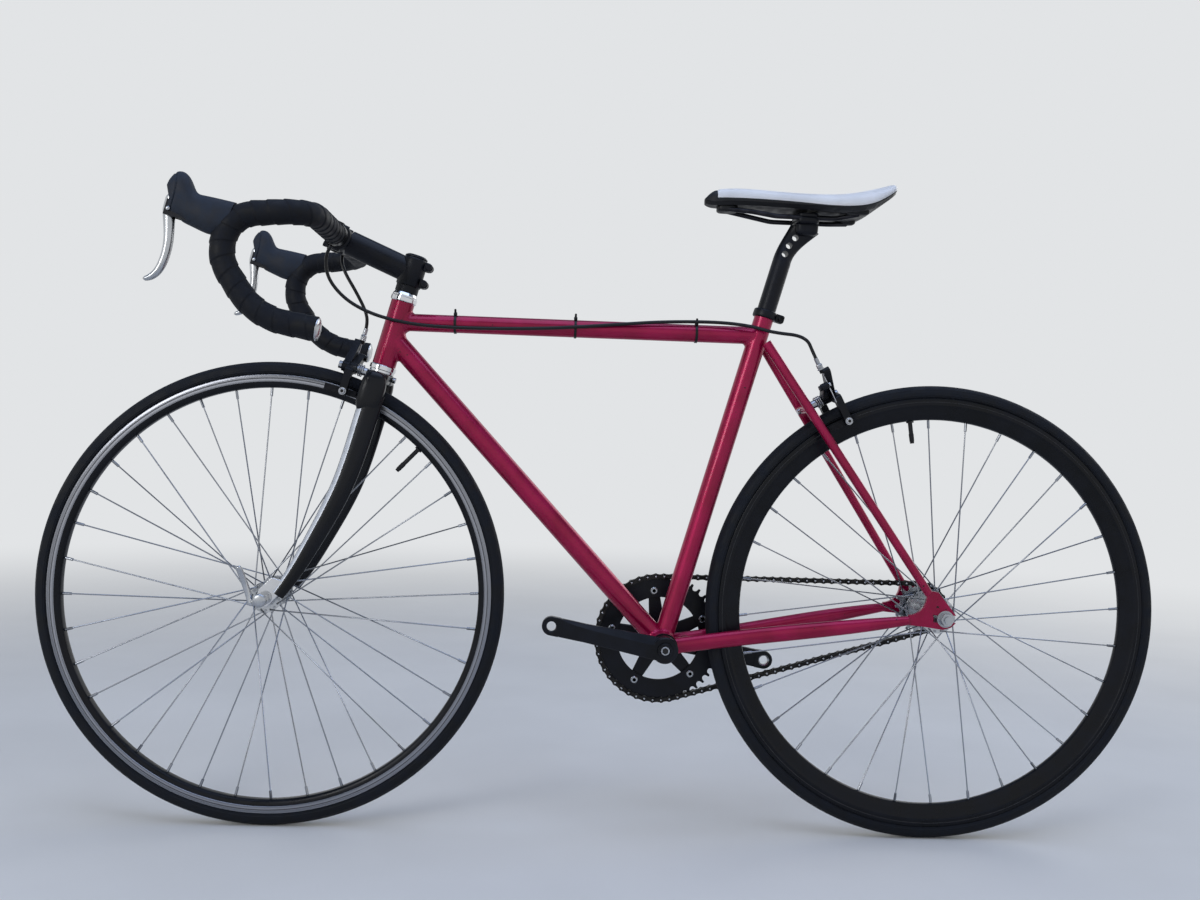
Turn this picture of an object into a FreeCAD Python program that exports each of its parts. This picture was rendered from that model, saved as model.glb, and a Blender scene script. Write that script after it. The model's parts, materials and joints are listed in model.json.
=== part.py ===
import FreeCAD, Part
import math
import os
import re
import Sketcher

# A fixed gear road bike. X runs from front to back, Y to the right, Z up; the bike faces -X and
# stands on Z = 0 with the origin midway between the wheels.

V = FreeCAD.Vector
Placement = FreeCAD.Placement
Rotation = FreeCAD.Rotation
ALONG = V(1, 0, 0)
RIGHT = V(0, 1, 0)
UP = V(0, 0, 1)
LEFT_AND_RIGHT = (-1, 1)

# Driving sizes in millimetres, angles in degrees, counts as plain numbers.
SIZES = {
    # whole bike
    "tyre_radius": 335.0,
    "front_centre": 567.0,
    "bracket_height": 278.0,
    "head_angle": 75.0,
    "seat_angle": 74.4,
    "fork_rake": 58.0,
    "fork_drop": 363.0,
    "overrun": 2.0,
    "running_gap": 0.05,
    "seat_gap": 0.02,
    "clear_gap": 0.3,
    # frame tubes
    "tube_wall": 1.2,
    "head_tube_radius": 17.0,
    "head_tube_wall": 2.0,
    "head_tube_length": 95.0,
    "top_tube_radius": 12.7,
    "top_tube_height": 734.0,
    "down_tube_radius": 15.0,
    "down_tube_joint": 42.0,
    "seat_tube_radius": 14.3,
    "seat_tube_length": 512.0,
    "shell_radius": 20.0,
    "shell_wall": 3.0,
    "shell_half": 34.0,
    # chainstays and seatstays
    "chainstay_start": 17.0,
    "chainstay_spread": 20.0,
    "chainstay_waist": 25.0,
    "chainstay_high": 11.5,
    "chainstay_wide": 8.0,
    "chainstay_tip": 6.5,
    "stay_wall": 1.0,
    "stay_end_wall": 6.0,
    "stay_bridge_radius": 6.0,
    "seatstay_radius": 7.0,
    "seatstay_tip": 6.0,
    "seatstay_joint": 465.0,
    "seatstay_spread": 17.0,
    "seatstay_set": 12.0,
    "brake_bridge_radius": 7.0,
    # dropouts and rear axle
    "rear_spacing": 120.0,
    "dropout_thick": 6.0,
    "dropout_length": 72.0,
    "dropout_height": 60.0,
    "dropout_hollow_radius": 25.8,
    "slot_half": 5.2,
    "slot_depth": 17.0,
    "rear_axle_radius": 5.0,
    "rear_axle_half": 80.0,
    "cone_radius": 9.0,
    "cone_length": 10.0,
    "locknut_radius": 8.0,
    "locknut_length": 10.0,
    "track_nut_radius": 9.5,
    "track_nut_length": 9.0,
    "washer_radius": 12.0,
    "washer_thick": 1.6,
    # headset
    "cup_radius": 19.0,
    "cup_height": 7.5,
    "cup_edge": 1.5,
    "race_height": 4.0,
    "race_radius": 18.0,
    "upper_cone_height": 7.0,
    "upper_cone_neck": 15.5,
    "steerer_radius": 12.7,
    "steerer_wall": 2.2,
    "spacer_radius": 16.5,
    "spacer_height": 10.0,
    # bottom bracket and cranks
    "spindle_radius": 8.5,
    "spindle_half": 58.0,
    "cup_flange": 20.5,
    "cup_flange_thick": 3.0,
    "crank_length": 165.0,
    "crank_angle": 10.7,
    "crank_inner": 47.0,
    "crank_thick": 13.0,
    "crank_boss_radius": 19.0,
    "crank_boss_inner": 39.0,
    "crank_root_half": 16.5,
    "crank_tip_half": 12.0,
    "pedal_eye_radius": 13.5,
    "pedal_hole_radius": 7.14,
    "crank_cap_radius": 10.5,
    "crank_cap_thick": 2.5,
    "bolt_circle_radius": 72.0,
    "spider_arms": 5,
    "spider_thick": 5.0,
    "spider_root_half": 13.0,
    "spider_tip_half": 8.0,
    "spider_tip_radius": 81.0,
    "ring_bolt_radius": 4.0,
    "ring_bolt_head": 5.5,
    "ring_bolt_head_thick": 1.6,
    "ring_inner_radius": 62.0,
    "chainline": 43.0,
    "ring_thick": 3.0,
    "ring_teeth": 46,
    "cog_teeth": 18,
    "chain_links": 96,
    # chain
    "chain_pitch": 12.7,
    "roller_radius": 3.85,
    "roller_seat": 4.25,
    "tooth_height": 3.0,
    "tooth_taper": 1.4,
    "link_half_height": 4.2,
    "link_waist": 2.9,
    "plate_thick": 1.1,
    "inner_width": 4.6,
    "plate_gap": 0.1,
    "pin_radius": 1.8,
    "pin_play": 0.15,
    "pin_stub": 0.7,
    # wheels
    "tyre_width": 24.0,
    "tyre_wall": 2.0,
    "rim_edge_radius": 316.5,
    "rim_half": 10.0,
    "rim_hook": 1.8,
    "rim_bed_radius": 309.0,
    "rim_track": 10.5,
    "rim_wall": 1.8,
    "front_rim_radius": 297.5,
    "front_rim_inner_half": 7.0,
    "rear_rim_radius": 284.5,
    "rear_rim_inner_half": 4.5,
    "tube_radius": 9.6,
    "tube_skin": 0.9,
    "valve_radius": 3.0,
    "front_valve_length": 45.0,
    "rear_valve_length": 33.0,
    "front_valve_angle": 46.6,
    "rear_valve_angle": 98.2,
    "spoke_radius": 1.0,
    "nipple_radius": 2.0,
    "nipple_length": 12.0,
    "spoke_hole_radius": 1.25,
    "spoke_bow": 1.3,
    "spoke_head_radius": 1.8,
    "spoke_head_thick": 1.0,
    "rim_spoke_offset": 1.5,
    "front_spokes": 36,
    "rear_spokes": 32,
    "spoke_crosses": 3,
    # hubs
    "front_spacing": 100.0,
    "front_flange": 35.0,
    "front_flange_radius": 22.0,
    "front_barrel_radius": 11.5,
    "rear_flange": 33.0,
    "rear_flange_radius": 26.0,
    "rear_barrel_radius": 15.0,
    "flange_thick": 3.0,
    "flange_rim": 3.2,
    "hub_end_radius": 13.5,
    "hub_end_gap": 6.0,
    "rear_thread_radius": 17.0,
    "cog_spacer": 2.0,
    "lockring_radius": 21.0,
    "lockring_thick": 4.0,
    # front axle and quick release
    "front_axle_radius": 4.5,
    "skewer_radius": 2.4,
    "skewer_nut_radius": 9.0,
    "skewer_nut_length": 14.0,
    "cam_housing_radius": 9.5,
    "cam_housing_length": 17.0,
    "cam_radius": 4.5,
    "cam_cap_thick": 4.0,
    "release_thick": 9.0,
    "release_length": 54.0,
    "release_lean": 17.0,
    # fork
    "crown_top_gap": 11.5,
    "crown_bridge": 15.0,
    "crown_half": 18.0,
    "crown_boss_radius": 18.0,
    "shoulder_height": 32.0,
    "shoulder_spread": 36.0,
    "shoulder_half_long": 18.5,
    "shoulder_half_wide": 11.5,
    "blade_half_long": 17.0,
    "blade_half_wide": 10.0,
    "blade_end_half_long": 9.5,
    "blade_end_half_wide": 6.5,
    "blade_wall": 1.4,
    "fork_tip_thick": 5.0,
    "fork_tip_length": 34.0,
    "fork_tip_half": 9.0,
    # stem and handlebar
    "stem_height": 42.0,
    "stem_clamp_radius": 18.0,
    "stem_reach": 113.0,
    "stem_rise": 16.0,
    "stem_half_high": 18.0,
    "stem_half_wide": 16.0,
    "stem_face_half": 21.0,
    "stem_face_radius": 19.0,
    "face_split": 1.0,
    "top_cap_height": 4.0,
    "bolt_radius": 2.5,
    "bolt_head_radius": 4.2,
    "bolt_head_length": 5.0,
    "stem_bolt_length": 32.0,
    "stem_bolt_set": 22.0,
    "stem_lug_half": 9.0,
    "face_bolt_set": 15.0,
    "bar_radius": 11.9,
    "bar_clamp_radius": 13.0,
    "bar_clamp_half": 30.0,
    "bar_wall": 1.8,
    "bar_half_width": 203.0,
    "bar_reach": 95.0,
    "bar_drop": 149.0,
    "bar_corner_radius": 45.0,
    "bar_hook_radius": 44.0,
    "bar_drop_radius": 55.0,
    "bar_tail_radius": 90.0,
    "tape_radius": 16.5,
    "tape_start": 33.0,
    "plug_radius": 15.0,
    "plug_thick": 4.0,
    "plug_shank": 14.0,
    # levers
    "hood_length": 84.0,
    "hood_height": 63.0,
    "hood_width": 33.0,
    "bracket_half": 10.5,
    "bracket_height_half": 8.0,
    "lever_pivot_ahead": 70.0,
    "lever_pivot_below": 16.0,
    "lever_length": 96.0,
    "lever_width": 13.0,
    "lever_pin_radius": 2.5,
    "lever_slot_gap": 0.6,
    "lever_slot_back": 19.0,
    # brakes
    "caliper_ahead": 35.0,
    "caliper_behind": 28.0,
    "caliper_below": 17.0,
    "caliper_bolt_radius": 3.0,
    "caliper_sleeve_radius": 6.0,
    "arm_thick": 10.5,
    "arm_gap": 0.6,
    "arm_boss_radius": 8.0,
    "arm_half": 5.5,
    "arm_spread": 29.0,
    "cable_side": 35.0,
    "cable_clamp_up": 19.0,
    "cable_stop_up": 38.0,
    "pad_gap": 2.0,
    "pad_thick": 10.0,
    "pad_height": 9.0,
    "pad_length": 46.0,
    "clamp_screw_length": 14.0,
    "adjuster_radius": 3.5,
    "adjuster_length": 14.0,
    "wire_radius": 0.8,
    "wire_bore": 1.3,
    "wire_tail": 22.0,
    # cables
    "housing_radius": 2.5,
    "tie_width": 3.6,
    "tie_thick": 1.3,
    # seat collar, post and saddle
    "collar_height": 12.0,
    "collar_radius": 17.6,
    "collar_lug_length": 11.0,
    "collar_lug_half": 7.0,
    "collar_slot": 1.6,
    "post_radius": 13.6,
    "post_wall": 2.6,
    "post_insert": 122.0,
    "post_shown": 73.0,
    "post_head_height": 58.0,
    "post_setback": 18.0,
    "post_head_half": 13.0,
    "post_hole_radius": 4.6,
    "clamp_length": 40.0,
    "clamp_thick": 9.0,
    "clamp_cap_thick": 6.0,
    "clamp_half": 27.0,
    "rail_radius": 3.5,
    "rail_spread": 22.0,
    "rail_above_post": 13.5,
    "rail_bend_radius": 60.0,
    "rail_tail_radius": 25.0,
    "saddle_ahead": 148.8,
    "saddle_length": 274.0,
    "saddle_half_width": 68.0,
    "saddle_above_rail": 18.0,
    "saddle_crown": 34.0,
    "saddle_shell_thick": 5.0,
}

doc = FreeCAD.newDocument("fixed_gear_bike")
sheet = doc.addObject("Spreadsheet::Sheet", "Sizes")
for row, (name, number) in enumerate(SIZES.items(), 1):
    sheet.set("A%d" % row, name)
    sheet.set("B%d" % row, str(number))
    sheet.setAlias("B%d" % row, name)
doc.recompute()


class Reader:
    """Reads a driving size from the sheet by its name."""

    def __getattr__(self, name):
        return float(sheet.get(name))


mm = Reader()


def bound(words):
    """Points each size named in an expression at its cell of the sheet."""
    return re.sub(r"[a-z_]\w*", lambda w: "Sizes." + w.group() if w.group() in SIZES else w.group(), words)


def value(words):
    return float(sheet.evalExpression(bound(words)))


def named(kind, label):
    item = doc.addObject(kind, label)
    item.Label = label
    return item


def formed(label, shape, frame=Placement()):
    """A piece whose form neither a sketch nor a primitive gives."""
    item = named("Part::Feature", label)
    item.Shape = shape
    item.Placement = frame
    return item


def cylinder(label, radius, length, frame):
    item = named("Part::Cylinder", label)
    item.setExpression("Radius", bound(radius))
    item.setExpression("Height", bound(length))
    item.Placement = frame
    return item


def box(label, sizes, corner, frame=Placement()):
    """A block whose three sizes are expressions, with its low corner given in a frame."""
    item = named("Part::Box", label)
    for side, words in zip(("Length", "Width", "Height"), sizes):
        item.setExpression(side, bound(words))
    item.Placement = frame.multiply(Placement(corner, Rotation()))
    return item


def fused(label, *items):
    item = named("Part::MultiFuse", label)
    item.Shapes = list(items)
    return item


def cut(label, base, *tools):
    tool = tools[0] if len(tools) == 1 else fused(label + "_tools", *tools)
    item = named("Part::Cut", label)
    item.Base = base
    item.Tool = tool
    return item


def together(label, *items):
    """Several separate solids that make one sub-part."""
    item = named("Part::Compound", label)
    item.Links = list(items)
    return item


def origin_plane(body, role):
    return [item for item in body.Origin.OriginFeatures if item.Role == role][0]


def new_sketch(body, label, role, height=0.0):
    sketch = body.newObject("Sketcher::SketchObject", label)
    sketch.AttachmentSupport = (origin_plane(body, role), [""])
    sketch.MapMode = "FlatFace"
    sketch.AttachmentOffset = Placement(V(0, 0, height), Rotation())
    return sketch


def tie(sketch, kind, number, words, *where):
    index = sketch.addConstraint(Sketcher.Constraint(kind, *where, number))
    sketch.setExpression("Constraints[%d]" % index, bound(words))


def draw_outline(sketch, points):
    """A closed outline of straight sides; each corner's two places are expressions."""
    corners = [V(value(x), value(y), 0) for x, y in points]
    count = len(corners)
    for i in range(count):
        sketch.addGeometry(Part.LineSegment(corners[i], corners[(i + 1) % count]), False)
    for i in range(count):
        sketch.addConstraint(Sketcher.Constraint("Coincident", i, 2, (i + 1) % count, 1))
    for i, (x, y) in enumerate(points):
        tie(sketch, "DistanceX", corners[i].x, x, -1, 1, i, 1)
        tie(sketch, "DistanceY", corners[i].y, y, -1, 1, i, 1)


def draw_circle(sketch, x, y, radius):
    index = sketch.addGeometry(Part.Circle(V(value(x), value(y), 0), UP, value(radius)), False)
    tie(sketch, "DistanceX", value(x), x, -1, 1, index, 3)
    tie(sketch, "DistanceY", value(y), y, -1, 1, index, 3)
    tie(sketch, "Radius", value(radius), radius, index)


def new_body(label, frame):
    body = named("PartDesign::Body", label)
    body.Placement = frame
    return body


def turned(label, points, frame):
    """A piece turned about its frame's Z from (radius, height) corners."""
    body = new_body(label, frame)
    sketch = new_sketch(body, label + "_profile", "XZ_Plane")
    draw_outline(sketch, points)
    turn = body.newObject("PartDesign::Revolution", label + "_turn")
    turn.Profile = sketch
    turn.ReferenceAxis = (sketch, ["V_Axis"])
    turn.Angle = 360
    return body


def hollowed(body, points):
    """Cuts a turned groove out of a turned piece."""
    sketch = new_sketch(body, body.Name + "_hollow_profile", "XZ_Plane")
    draw_outline(sketch, points)
    groove = body.newObject("PartDesign::Groove", body.Name + "_hollow")
    groove.Profile = sketch
    groove.ReferenceAxis = (sketch, ["V_Axis"])
    groove.Angle = 360


def padded(body, name, draw, start, length):
    """Raises a drawn outline from a height along the body's Z."""
    sketch = new_sketch(body, body.Name + "_" + name, "XY_Plane", value(start))
    draw(sketch)
    pad = body.newObject("PartDesign::Pad", body.Name + "_" + name + "_pad")
    pad.Profile = sketch
    pad.setExpression("Length", bound(length))
    return pad


def bored(body, name, draw):
    """Cuts a drawn outline right through the body along its Z."""
    sketch = new_sketch(body, body.Name + "_" + name, "XY_Plane")
    draw(sketch)
    pocket = body.newObject("PartDesign::Pocket", body.Name + "_" + name + "_cut")
    pocket.Profile = sketch
    pocket.Type = "ThroughAll"
    pocket.Midplane = True
    return pocket


def repeated(body, feature, count):
    """Repeats a feature round the body's Z."""
    pattern = body.newObject("PartDesign::PolarPattern", feature.Name + "_round")
    pattern.Originals = [feature]
    pattern.Axis = (feature.Profile[0], ["N_Axis"])
    pattern.Angle = 360
    pattern.setExpression("Occurrences", bound(count))
    body.Tip = pattern


def aimed(start, end):
    """A frame at start whose Z looks at end."""
    return Placement(start, Rotation(UP, end - start))


def oval(centre, along, side, half_side, half_other):
    """An ellipse square to a direction, with its two half sizes."""
    along = V(along).normalize()
    other = along.cross(side).normalize()
    across = other.cross(along)
    a, b = across * half_side, other * half_other
    matrix = FreeCAD.Matrix(a.x, b.x, along.x, centre.x, a.y, b.y, along.y, centre.y,
                            a.z, b.z, along.z, centre.z, 0, 0, 0, 1)
    return Part.Wire(Part.Circle().toShape().transformGeometry(matrix).Edges)


def lofted(sections):
    return Part.makeLoft(sections, True, False)


def rounded_path(points, radii):
    """Straight runs through the points, joined by tangent arcs of the given radii."""
    edges = []
    reached = points[0]
    for before, corner, after, radius in zip(points, points[1:], points[2:], radii):
        arriving = (corner - before).normalize()
        leaving = (after - corner).normalize()
        half_turn = arriving.getAngle(leaving) / 2
        short = radius * math.tan(half_turn)
        inward = (leaving - arriving).normalize()
        entry = corner - arriving * short
        middle = corner + inward * (radius / math.cos(half_turn) - radius)
        departure = corner + leaving * short
        edges.append(Part.LineSegment(reached, entry).toShape())
        edges.append(Part.Arc(entry, middle, departure).toShape())
        reached = departure
    edges.append(Part.LineSegment(reached, points[-1]).toShape())
    return Part.Wire(edges)


def swept(path, radius):
    """A round rod along a path of runs and arcs."""
    first = path.Edges[0]
    along = first.tangentAt(first.FirstParameter)
    ring = Part.Wire(Part.Circle(first.valueAt(first.FirstParameter), along, radius).toShape())
    return path.makePipeShell([ring], True, False)


def cord(label, points, radius, wire, frame=Placement()):
    """A cable along hand-chosen points, with its bare wire; each arc is as large as its two runs allow."""
    share = 0.45
    radii = []
    for before, corner, after in zip(points, points[1:], points[2:]):
        turn = (corner - before).getAngle(after - corner)
        shorter = min((corner - before).Length, (after - corner).Length)
        radii.append(share * shorter / math.tan(turn / 2))
    path = rounded_path(points, radii)
    shape = swept(path, radius)
    whole = math.pi * radius ** 2 * path.Length
    print(label, "length", round(path.Length), "tightest bend", round(min(radii), 1),
          "volume over section times length", round(shape.Volume / whole, 4))
    return formed(label, Part.makeCompound([shape, wire]), frame)


# Places worked out from the driving sizes.
cable_depth = mm.arm_thick + mm.arm_gap / 2
ring_radius = mm.chain_pitch / (2 * math.sin(math.pi / mm.ring_teeth))
cog_radius = mm.chain_pitch / (2 * math.sin(math.pi / mm.cog_teeth))


def chain_lean(reach):
    return math.asin((ring_radius - cog_radius) / reach)


def loop_length(reach):
    """Length of the chain round the ring and the cog, their centres a reach apart."""
    lean = chain_lean(reach)
    around = ring_radius * (math.pi + 2 * lean) + cog_radius * (math.pi - 2 * lean)
    return 2 * reach * math.cos(lean) + around


near, far = ring_radius + cog_radius, mm.chain_links * mm.chain_pitch
halvings = 80
for step in range(halvings):
    chain_reach = (near + far) / 2
    if loop_length(chain_reach) > mm.chain_links * mm.chain_pitch:
        far = chain_reach
    else:
        near = chain_reach

axle_rise = mm.tyre_radius - mm.bracket_height
wheelbase = mm.front_centre + math.sqrt(chain_reach ** 2 - axle_rise ** 2)
front_axle = V(-wheelbase / 2, 0, mm.tyre_radius)
rear_axle = V(wheelbase / 2, 0, mm.tyre_radius)
bracket = V(front_axle.x + mm.front_centre, 0, mm.bracket_height)

STEER_TURN = Rotation(RIGHT, 90 - mm.head_angle)
head_foot = front_axle + STEER_TURN.multVec(V(mm.fork_rake, 0, mm.fork_drop))
STEER = Placement(head_foot, STEER_TURN)
SEAT = Placement(bracket, Rotation(RIGHT, 90 - mm.seat_angle))
ACROSS = Rotation(ALONG, -90)
FRONT_HUB = Placement(front_axle, ACROSS)
REAR_HUB = Placement(rear_axle, ACROSS)
BRACKET = Placement(bracket, ACROSS)


def head_axis_at(height):
    return head_foot + V((height - head_foot.z) / math.tan(math.radians(mm.head_angle)), 0,
                         height - head_foot.z)


def seat_axis_at(height):
    return bracket + V((height - bracket.z) / math.tan(math.radians(mm.seat_angle)), 0, height - bracket.z)


# Frame tubes: each is a drawn steel tube, mitred to the outside of the tubes that it meets.
top_start = head_axis_at(mm.top_tube_height)
top_end = seat_axis_at(mm.top_tube_height)
down_start = STEER.multVec(V(0, 0, mm.down_tube_joint))
SHELL = Placement(bracket - RIGHT * mm.shell_half, ACROSS)

head_core = cylinder("head_core", "head_tube_radius", "head_tube_length", STEER)
seat_core = cylinder("seat_core", "seat_tube_radius", "seat_tube_length", SEAT)
shell_core = cylinder("shell_core", "shell_radius", "2 * shell_half", SHELL)


def tube(label, start, end, radius, wall, *neighbours):
    """A hollow round tube between two points, cut to fit its neighbours."""
    frame = aimed(start, end)
    length = "%.9f" % (end - start).Length
    outside = cylinder(label + "_outside", radius, length, frame)
    inside = cylinder(label + "_inside", radius + " - " + wall, length, frame)
    return cut(label, outside, inside, *neighbours)


head_top = STEER.multVec(V(0, 0, mm.head_tube_length))
tube("head_tube", head_foot, head_top, "head_tube_radius", "head_tube_wall")
tube("top_tube", top_start, top_end, "top_tube_radius", "tube_wall", head_core, seat_core)
tube("down_tube", down_start, bracket, "down_tube_radius", "tube_wall", head_core, shell_core)
down_core = cylinder("down_core", "down_tube_radius", "%.9f" % (bracket - down_start).Length,
                     aimed(down_start, bracket))
seat_bore = cylinder("seat_bore", "post_radius + running_gap", "seat_tube_length", SEAT)
cut("seat_tube", seat_core, seat_bore, shell_core, down_core)
shell_bore = cylinder("shell_bore", "shell_radius - shell_wall", "2 * shell_half", SHELL)
cut("bottom_bracket_shell", shell_core, shell_bore)

# Dropouts: flat plates with a slot that opens backwards, so that the axle slides to tighten the chain.
dropout_shares = [
    (-0.722, -0.167), (-0.40, -0.20), (-0.04, -0.26), (0.125, -0.20), ("mouth", "below"), ("root", "below"),
    ("root", "above"), ("mouth", "above"), (0.167, 0.167), (-0.153, 0.633), (-0.40, 0.667), (-0.722, 0.667)]
dropout_hollow_shares = (-0.736, 0.50)
dropout_words = {"mouth": "0.22 * dropout_length", "root": "-slot_depth", "below": "-slot_half",
                 "above": "slot_half"}


def share_of(share, size):
    return dropout_words.get(share) or "%g * %s" % (share, size)


dropout_inner = mm.rear_spacing / 2
dropout_middle = dropout_inner + mm.dropout_thick / 2
dropout_outline = [(share_of(x, "dropout_length"), "-1 * (" + share_of(y, "dropout_height") + ")")
                   for x, y in dropout_shares]
dropout_plates = []
for side in LEFT_AND_RIGHT:
    inner = side * dropout_inner - (mm.dropout_thick if side < 0 else 0)
    plate = new_body("dropout_plate_%s" % ("left" if side < 0 else "right"),
                     Placement(rear_axle + RIGHT * inner, ACROSS))
    padded(plate, "outline", lambda sketch: draw_outline(sketch, dropout_outline), "0", "dropout_thick")
    bored(plate, "hollow", lambda sketch: draw_circle(
        sketch, share_of(dropout_hollow_shares[0], "dropout_length"),
        "-1 * " + share_of(dropout_hollow_shares[1], "dropout_height"), "dropout_hollow_radius"))
    dropout_plates.append(plate)
together("dropouts", *dropout_plates)

# Chainstays: oval tubes, narrow beside the tyre and spread to the dropouts.
chainstay_end_share = (-0.70, -0.06)
chainstay_waist_share = 0.28


def chainstay_form(start, waist, blend, end, wall):
    """The outside of a stay, or its bore when a wall is taken off."""
    wide, high, tip = mm.chainstay_wide - wall, mm.chainstay_high - wall, mm.chainstay_tip - wall
    return lofted([oval(start, waist - start, RIGHT, wide, high),
                   oval(waist, blend - start, RIGHT, wide, high),
                   oval(blend, end - waist, RIGHT, wide, high), oval(end, end - waist, RIGHT, tip, tip)])


stays, stay_bores = [], []
for side in LEFT_AND_RIGHT:
    start = bracket + V(mm.chainstay_start, side * mm.chainstay_spread, 0)
    end = rear_axle + V(chainstay_end_share[0] * mm.dropout_length, side * dropout_middle,
                        chainstay_end_share[1] * mm.dropout_height)
    waist = start + (end - start) * chainstay_waist_share
    waist.y = side * mm.chainstay_waist
    blend = waist + (end - waist) * chainstay_waist_share
    stays.append(formed("chainstay_blank_%d" % side, chainstay_form(start, waist, blend, end, 0)))
    inner_start = start + (waist - start).normalize() * mm.stay_end_wall
    inner_end = end - (end - waist).normalize() * mm.stay_end_wall
    stay_bores.append(formed("chainstay_bore_%d" % side,
                             chainstay_form(inner_start, waist, blend, inner_end, mm.stay_wall)))
chainstay_bridge_share = 0.42
bridge_x = bracket.x + mm.chainstay_start + chainstay_bridge_share * (
    rear_axle.x - mm.tyre_radius - bracket.x - mm.chainstay_start)
bridge_z = bracket.z + (bridge_x - bracket.x) * axle_rise / (rear_axle.x - bracket.x)
bridge_start = V(bridge_x, -mm.chainstay_spread, bridge_z)
bridge_blank = cylinder("chainstay_bridge_blank", "stay_bridge_radius", "2 * chainstay_spread",
                        Placement(bridge_start, ACROSS))
stay_tools = [shell_core, *dropout_plates]
trimmed = [cut("chainstay_%d" % side, blank, bore, *stay_tools)
           for side, blank, bore in zip(LEFT_AND_RIGHT, stays, stay_bores)]
together("chainstays", *trimmed, cut("chainstay_bridge", bridge_blank, *stays, shell_core))

# Seatstays: slim round tubes from the side of the seat tube to the dropouts, with the brake bridge.
seatstay_end_share = (-0.33, 0.58)
bridge_share = 0.265
seat_side = SEAT.multVec(V(mm.seatstay_set, 0, mm.seatstay_joint))
stay_foot = rear_axle + V(seatstay_end_share[0] * mm.dropout_length, 0,
                          seatstay_end_share[1] * mm.dropout_height)


def seatstay_form(start, end, wall):
    top, tip = mm.seatstay_radius - wall, mm.seatstay_tip - wall
    return lofted([oval(start, end - start, RIGHT, top, top), oval(end, end - start, RIGHT, tip, tip)])


stay_blanks, stay_bores = [], []
for side in LEFT_AND_RIGHT:
    start = seat_side + RIGHT * (side * mm.seatstay_spread)
    end = stay_foot + RIGHT * (side * dropout_middle)
    inset = (end - start).normalize() * mm.stay_end_wall
    stay_blanks.append(formed("seatstay_blank_%d" % side, seatstay_form(start, end, 0)))
    stay_bores.append(formed("seatstay_bore_%d" % side,
                             seatstay_form(start + inset, end - inset, mm.stay_wall)))
bridge_middle = seat_side + (stay_foot - seat_side) * bridge_share
bridge_half = mm.seatstay_spread + (dropout_middle - mm.seatstay_spread) * bridge_share
to_axle = rear_axle - bridge_middle
caliper_tilt = math.asin((mm.caliper_behind + cable_depth) / to_axle.Length)
down_line = to_axle.normalize()
back_line = V(-down_line.z, 0, down_line.x)
caliper_back = back_line * math.cos(caliper_tilt) + down_line * math.sin(caliper_tilt)
caliper_up = back_line * math.sin(caliper_tilt) - down_line * math.cos(caliper_tilt)
REAR_CALIPER = Placement(bridge_middle + caliper_back * mm.caliper_behind, Rotation(
    FreeCAD.Matrix(0, caliper_up.x, caliper_back.x, 0, 1, 0, 0, 0, 0, caliper_up.z, caliper_back.z, 0, 0, 0,
                   0, 1)))
BRIDGE_BOLT = Placement(bridge_middle - caliper_back * (mm.brake_bridge_radius + mm.bolt_head_length),
                        REAR_CALIPER.Rotation)
rear_bolt_length = mm.brake_bridge_radius + mm.bolt_head_length + mm.caliper_behind
bridge_hole = cylinder("brake_bridge_hole", "caliper_bolt_radius + seat_gap", "%.9f" % rear_bolt_length,
                       BRIDGE_BOLT)
brake_bridge_blank = formed("brake_bridge_blank", Part.makeCylinder(
    mm.brake_bridge_radius, 2 * bridge_half, bridge_middle - RIGHT * bridge_half, RIGHT))
trimmed = [cut("seatstay_%d" % side, blank, bore, seat_core, *dropout_plates)
           for side, blank, bore in zip(LEFT_AND_RIGHT, stay_blanks, stay_bores)]
together("seatstays", *trimmed, cut("brake_bridge", brake_bridge_blank, *stay_blanks, bridge_hole))

# Headset: pressed cups in the head tube, a race on the crown and a cone on the steerer.
cup_bore = "steerer_radius + clear_gap"
lower_cup = turned("lower_cup", [(cup_bore, "0"), ("cup_radius - cup_edge", "0"),
                                 ("cup_radius", "-cup_edge"),
                                 ("cup_radius", "-cup_height"), (cup_bore, "-cup_height")], STEER)
upper_cup = turned("upper_cup", [(cup_bore, "0"), ("cup_radius - cup_edge", "0"),
                                 ("cup_radius", "cup_edge"),
                                 ("cup_radius", "cup_height"), (cup_bore, "cup_height")],
                   Placement(head_top, STEER_TURN))
together("headset_cups", lower_cup, upper_cup)
RACE = Placement(STEER.multVec(V(0, 0, -mm.crown_top_gap)), STEER_TURN)
CONE = Placement(STEER.multVec(V(0, 0, mm.head_tube_length + mm.cup_height + mm.clear_gap)), STEER_TURN)
race_bore = "steerer_radius + seat_gap"
crown_race = turned("crown_race", [(race_bore, "0"), ("race_radius", "0"),
                                   ("race_radius", "crown_top_gap - cup_height - clear_gap"),
                                   (race_bore, "crown_top_gap - cup_height - clear_gap")], RACE)
upper_cone = turned("upper_cone", [(race_bore, "0"), ("race_radius", "0"),
                                   ("race_radius", "race_height - cup_edge"),
                                   ("upper_cone_neck", "upper_cone_height"),
                                   (race_bore, "upper_cone_height")], CONE)
together("headset_races", crown_race, upper_cone)
stem_foot = mm.head_tube_length + mm.cup_height + mm.clear_gap + mm.upper_cone_height + mm.spacer_height
stem_top = stem_foot + mm.stem_height
spacer = turned("spacer", [(race_bore, "0"), ("spacer_radius", "0"), ("spacer_radius", "spacer_height"),
                           (race_bore, "spacer_height")],
                Placement(STEER.multVec(V(0, 0, stem_foot - mm.spacer_height)), STEER_TURN))
top_cap = turned("top_cap", [("0", "0"), ("stem_clamp_radius - cup_edge", "0"),
                             ("stem_clamp_radius - cup_edge", "cup_edge"),
                             ("steerer_radius", "top_cap_height"), ("0", "top_cap_height")],
                 Placement(STEER.multVec(V(0, 0, stem_top)), STEER_TURN))
together("headset_spacer", spacer, top_cap)

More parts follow.
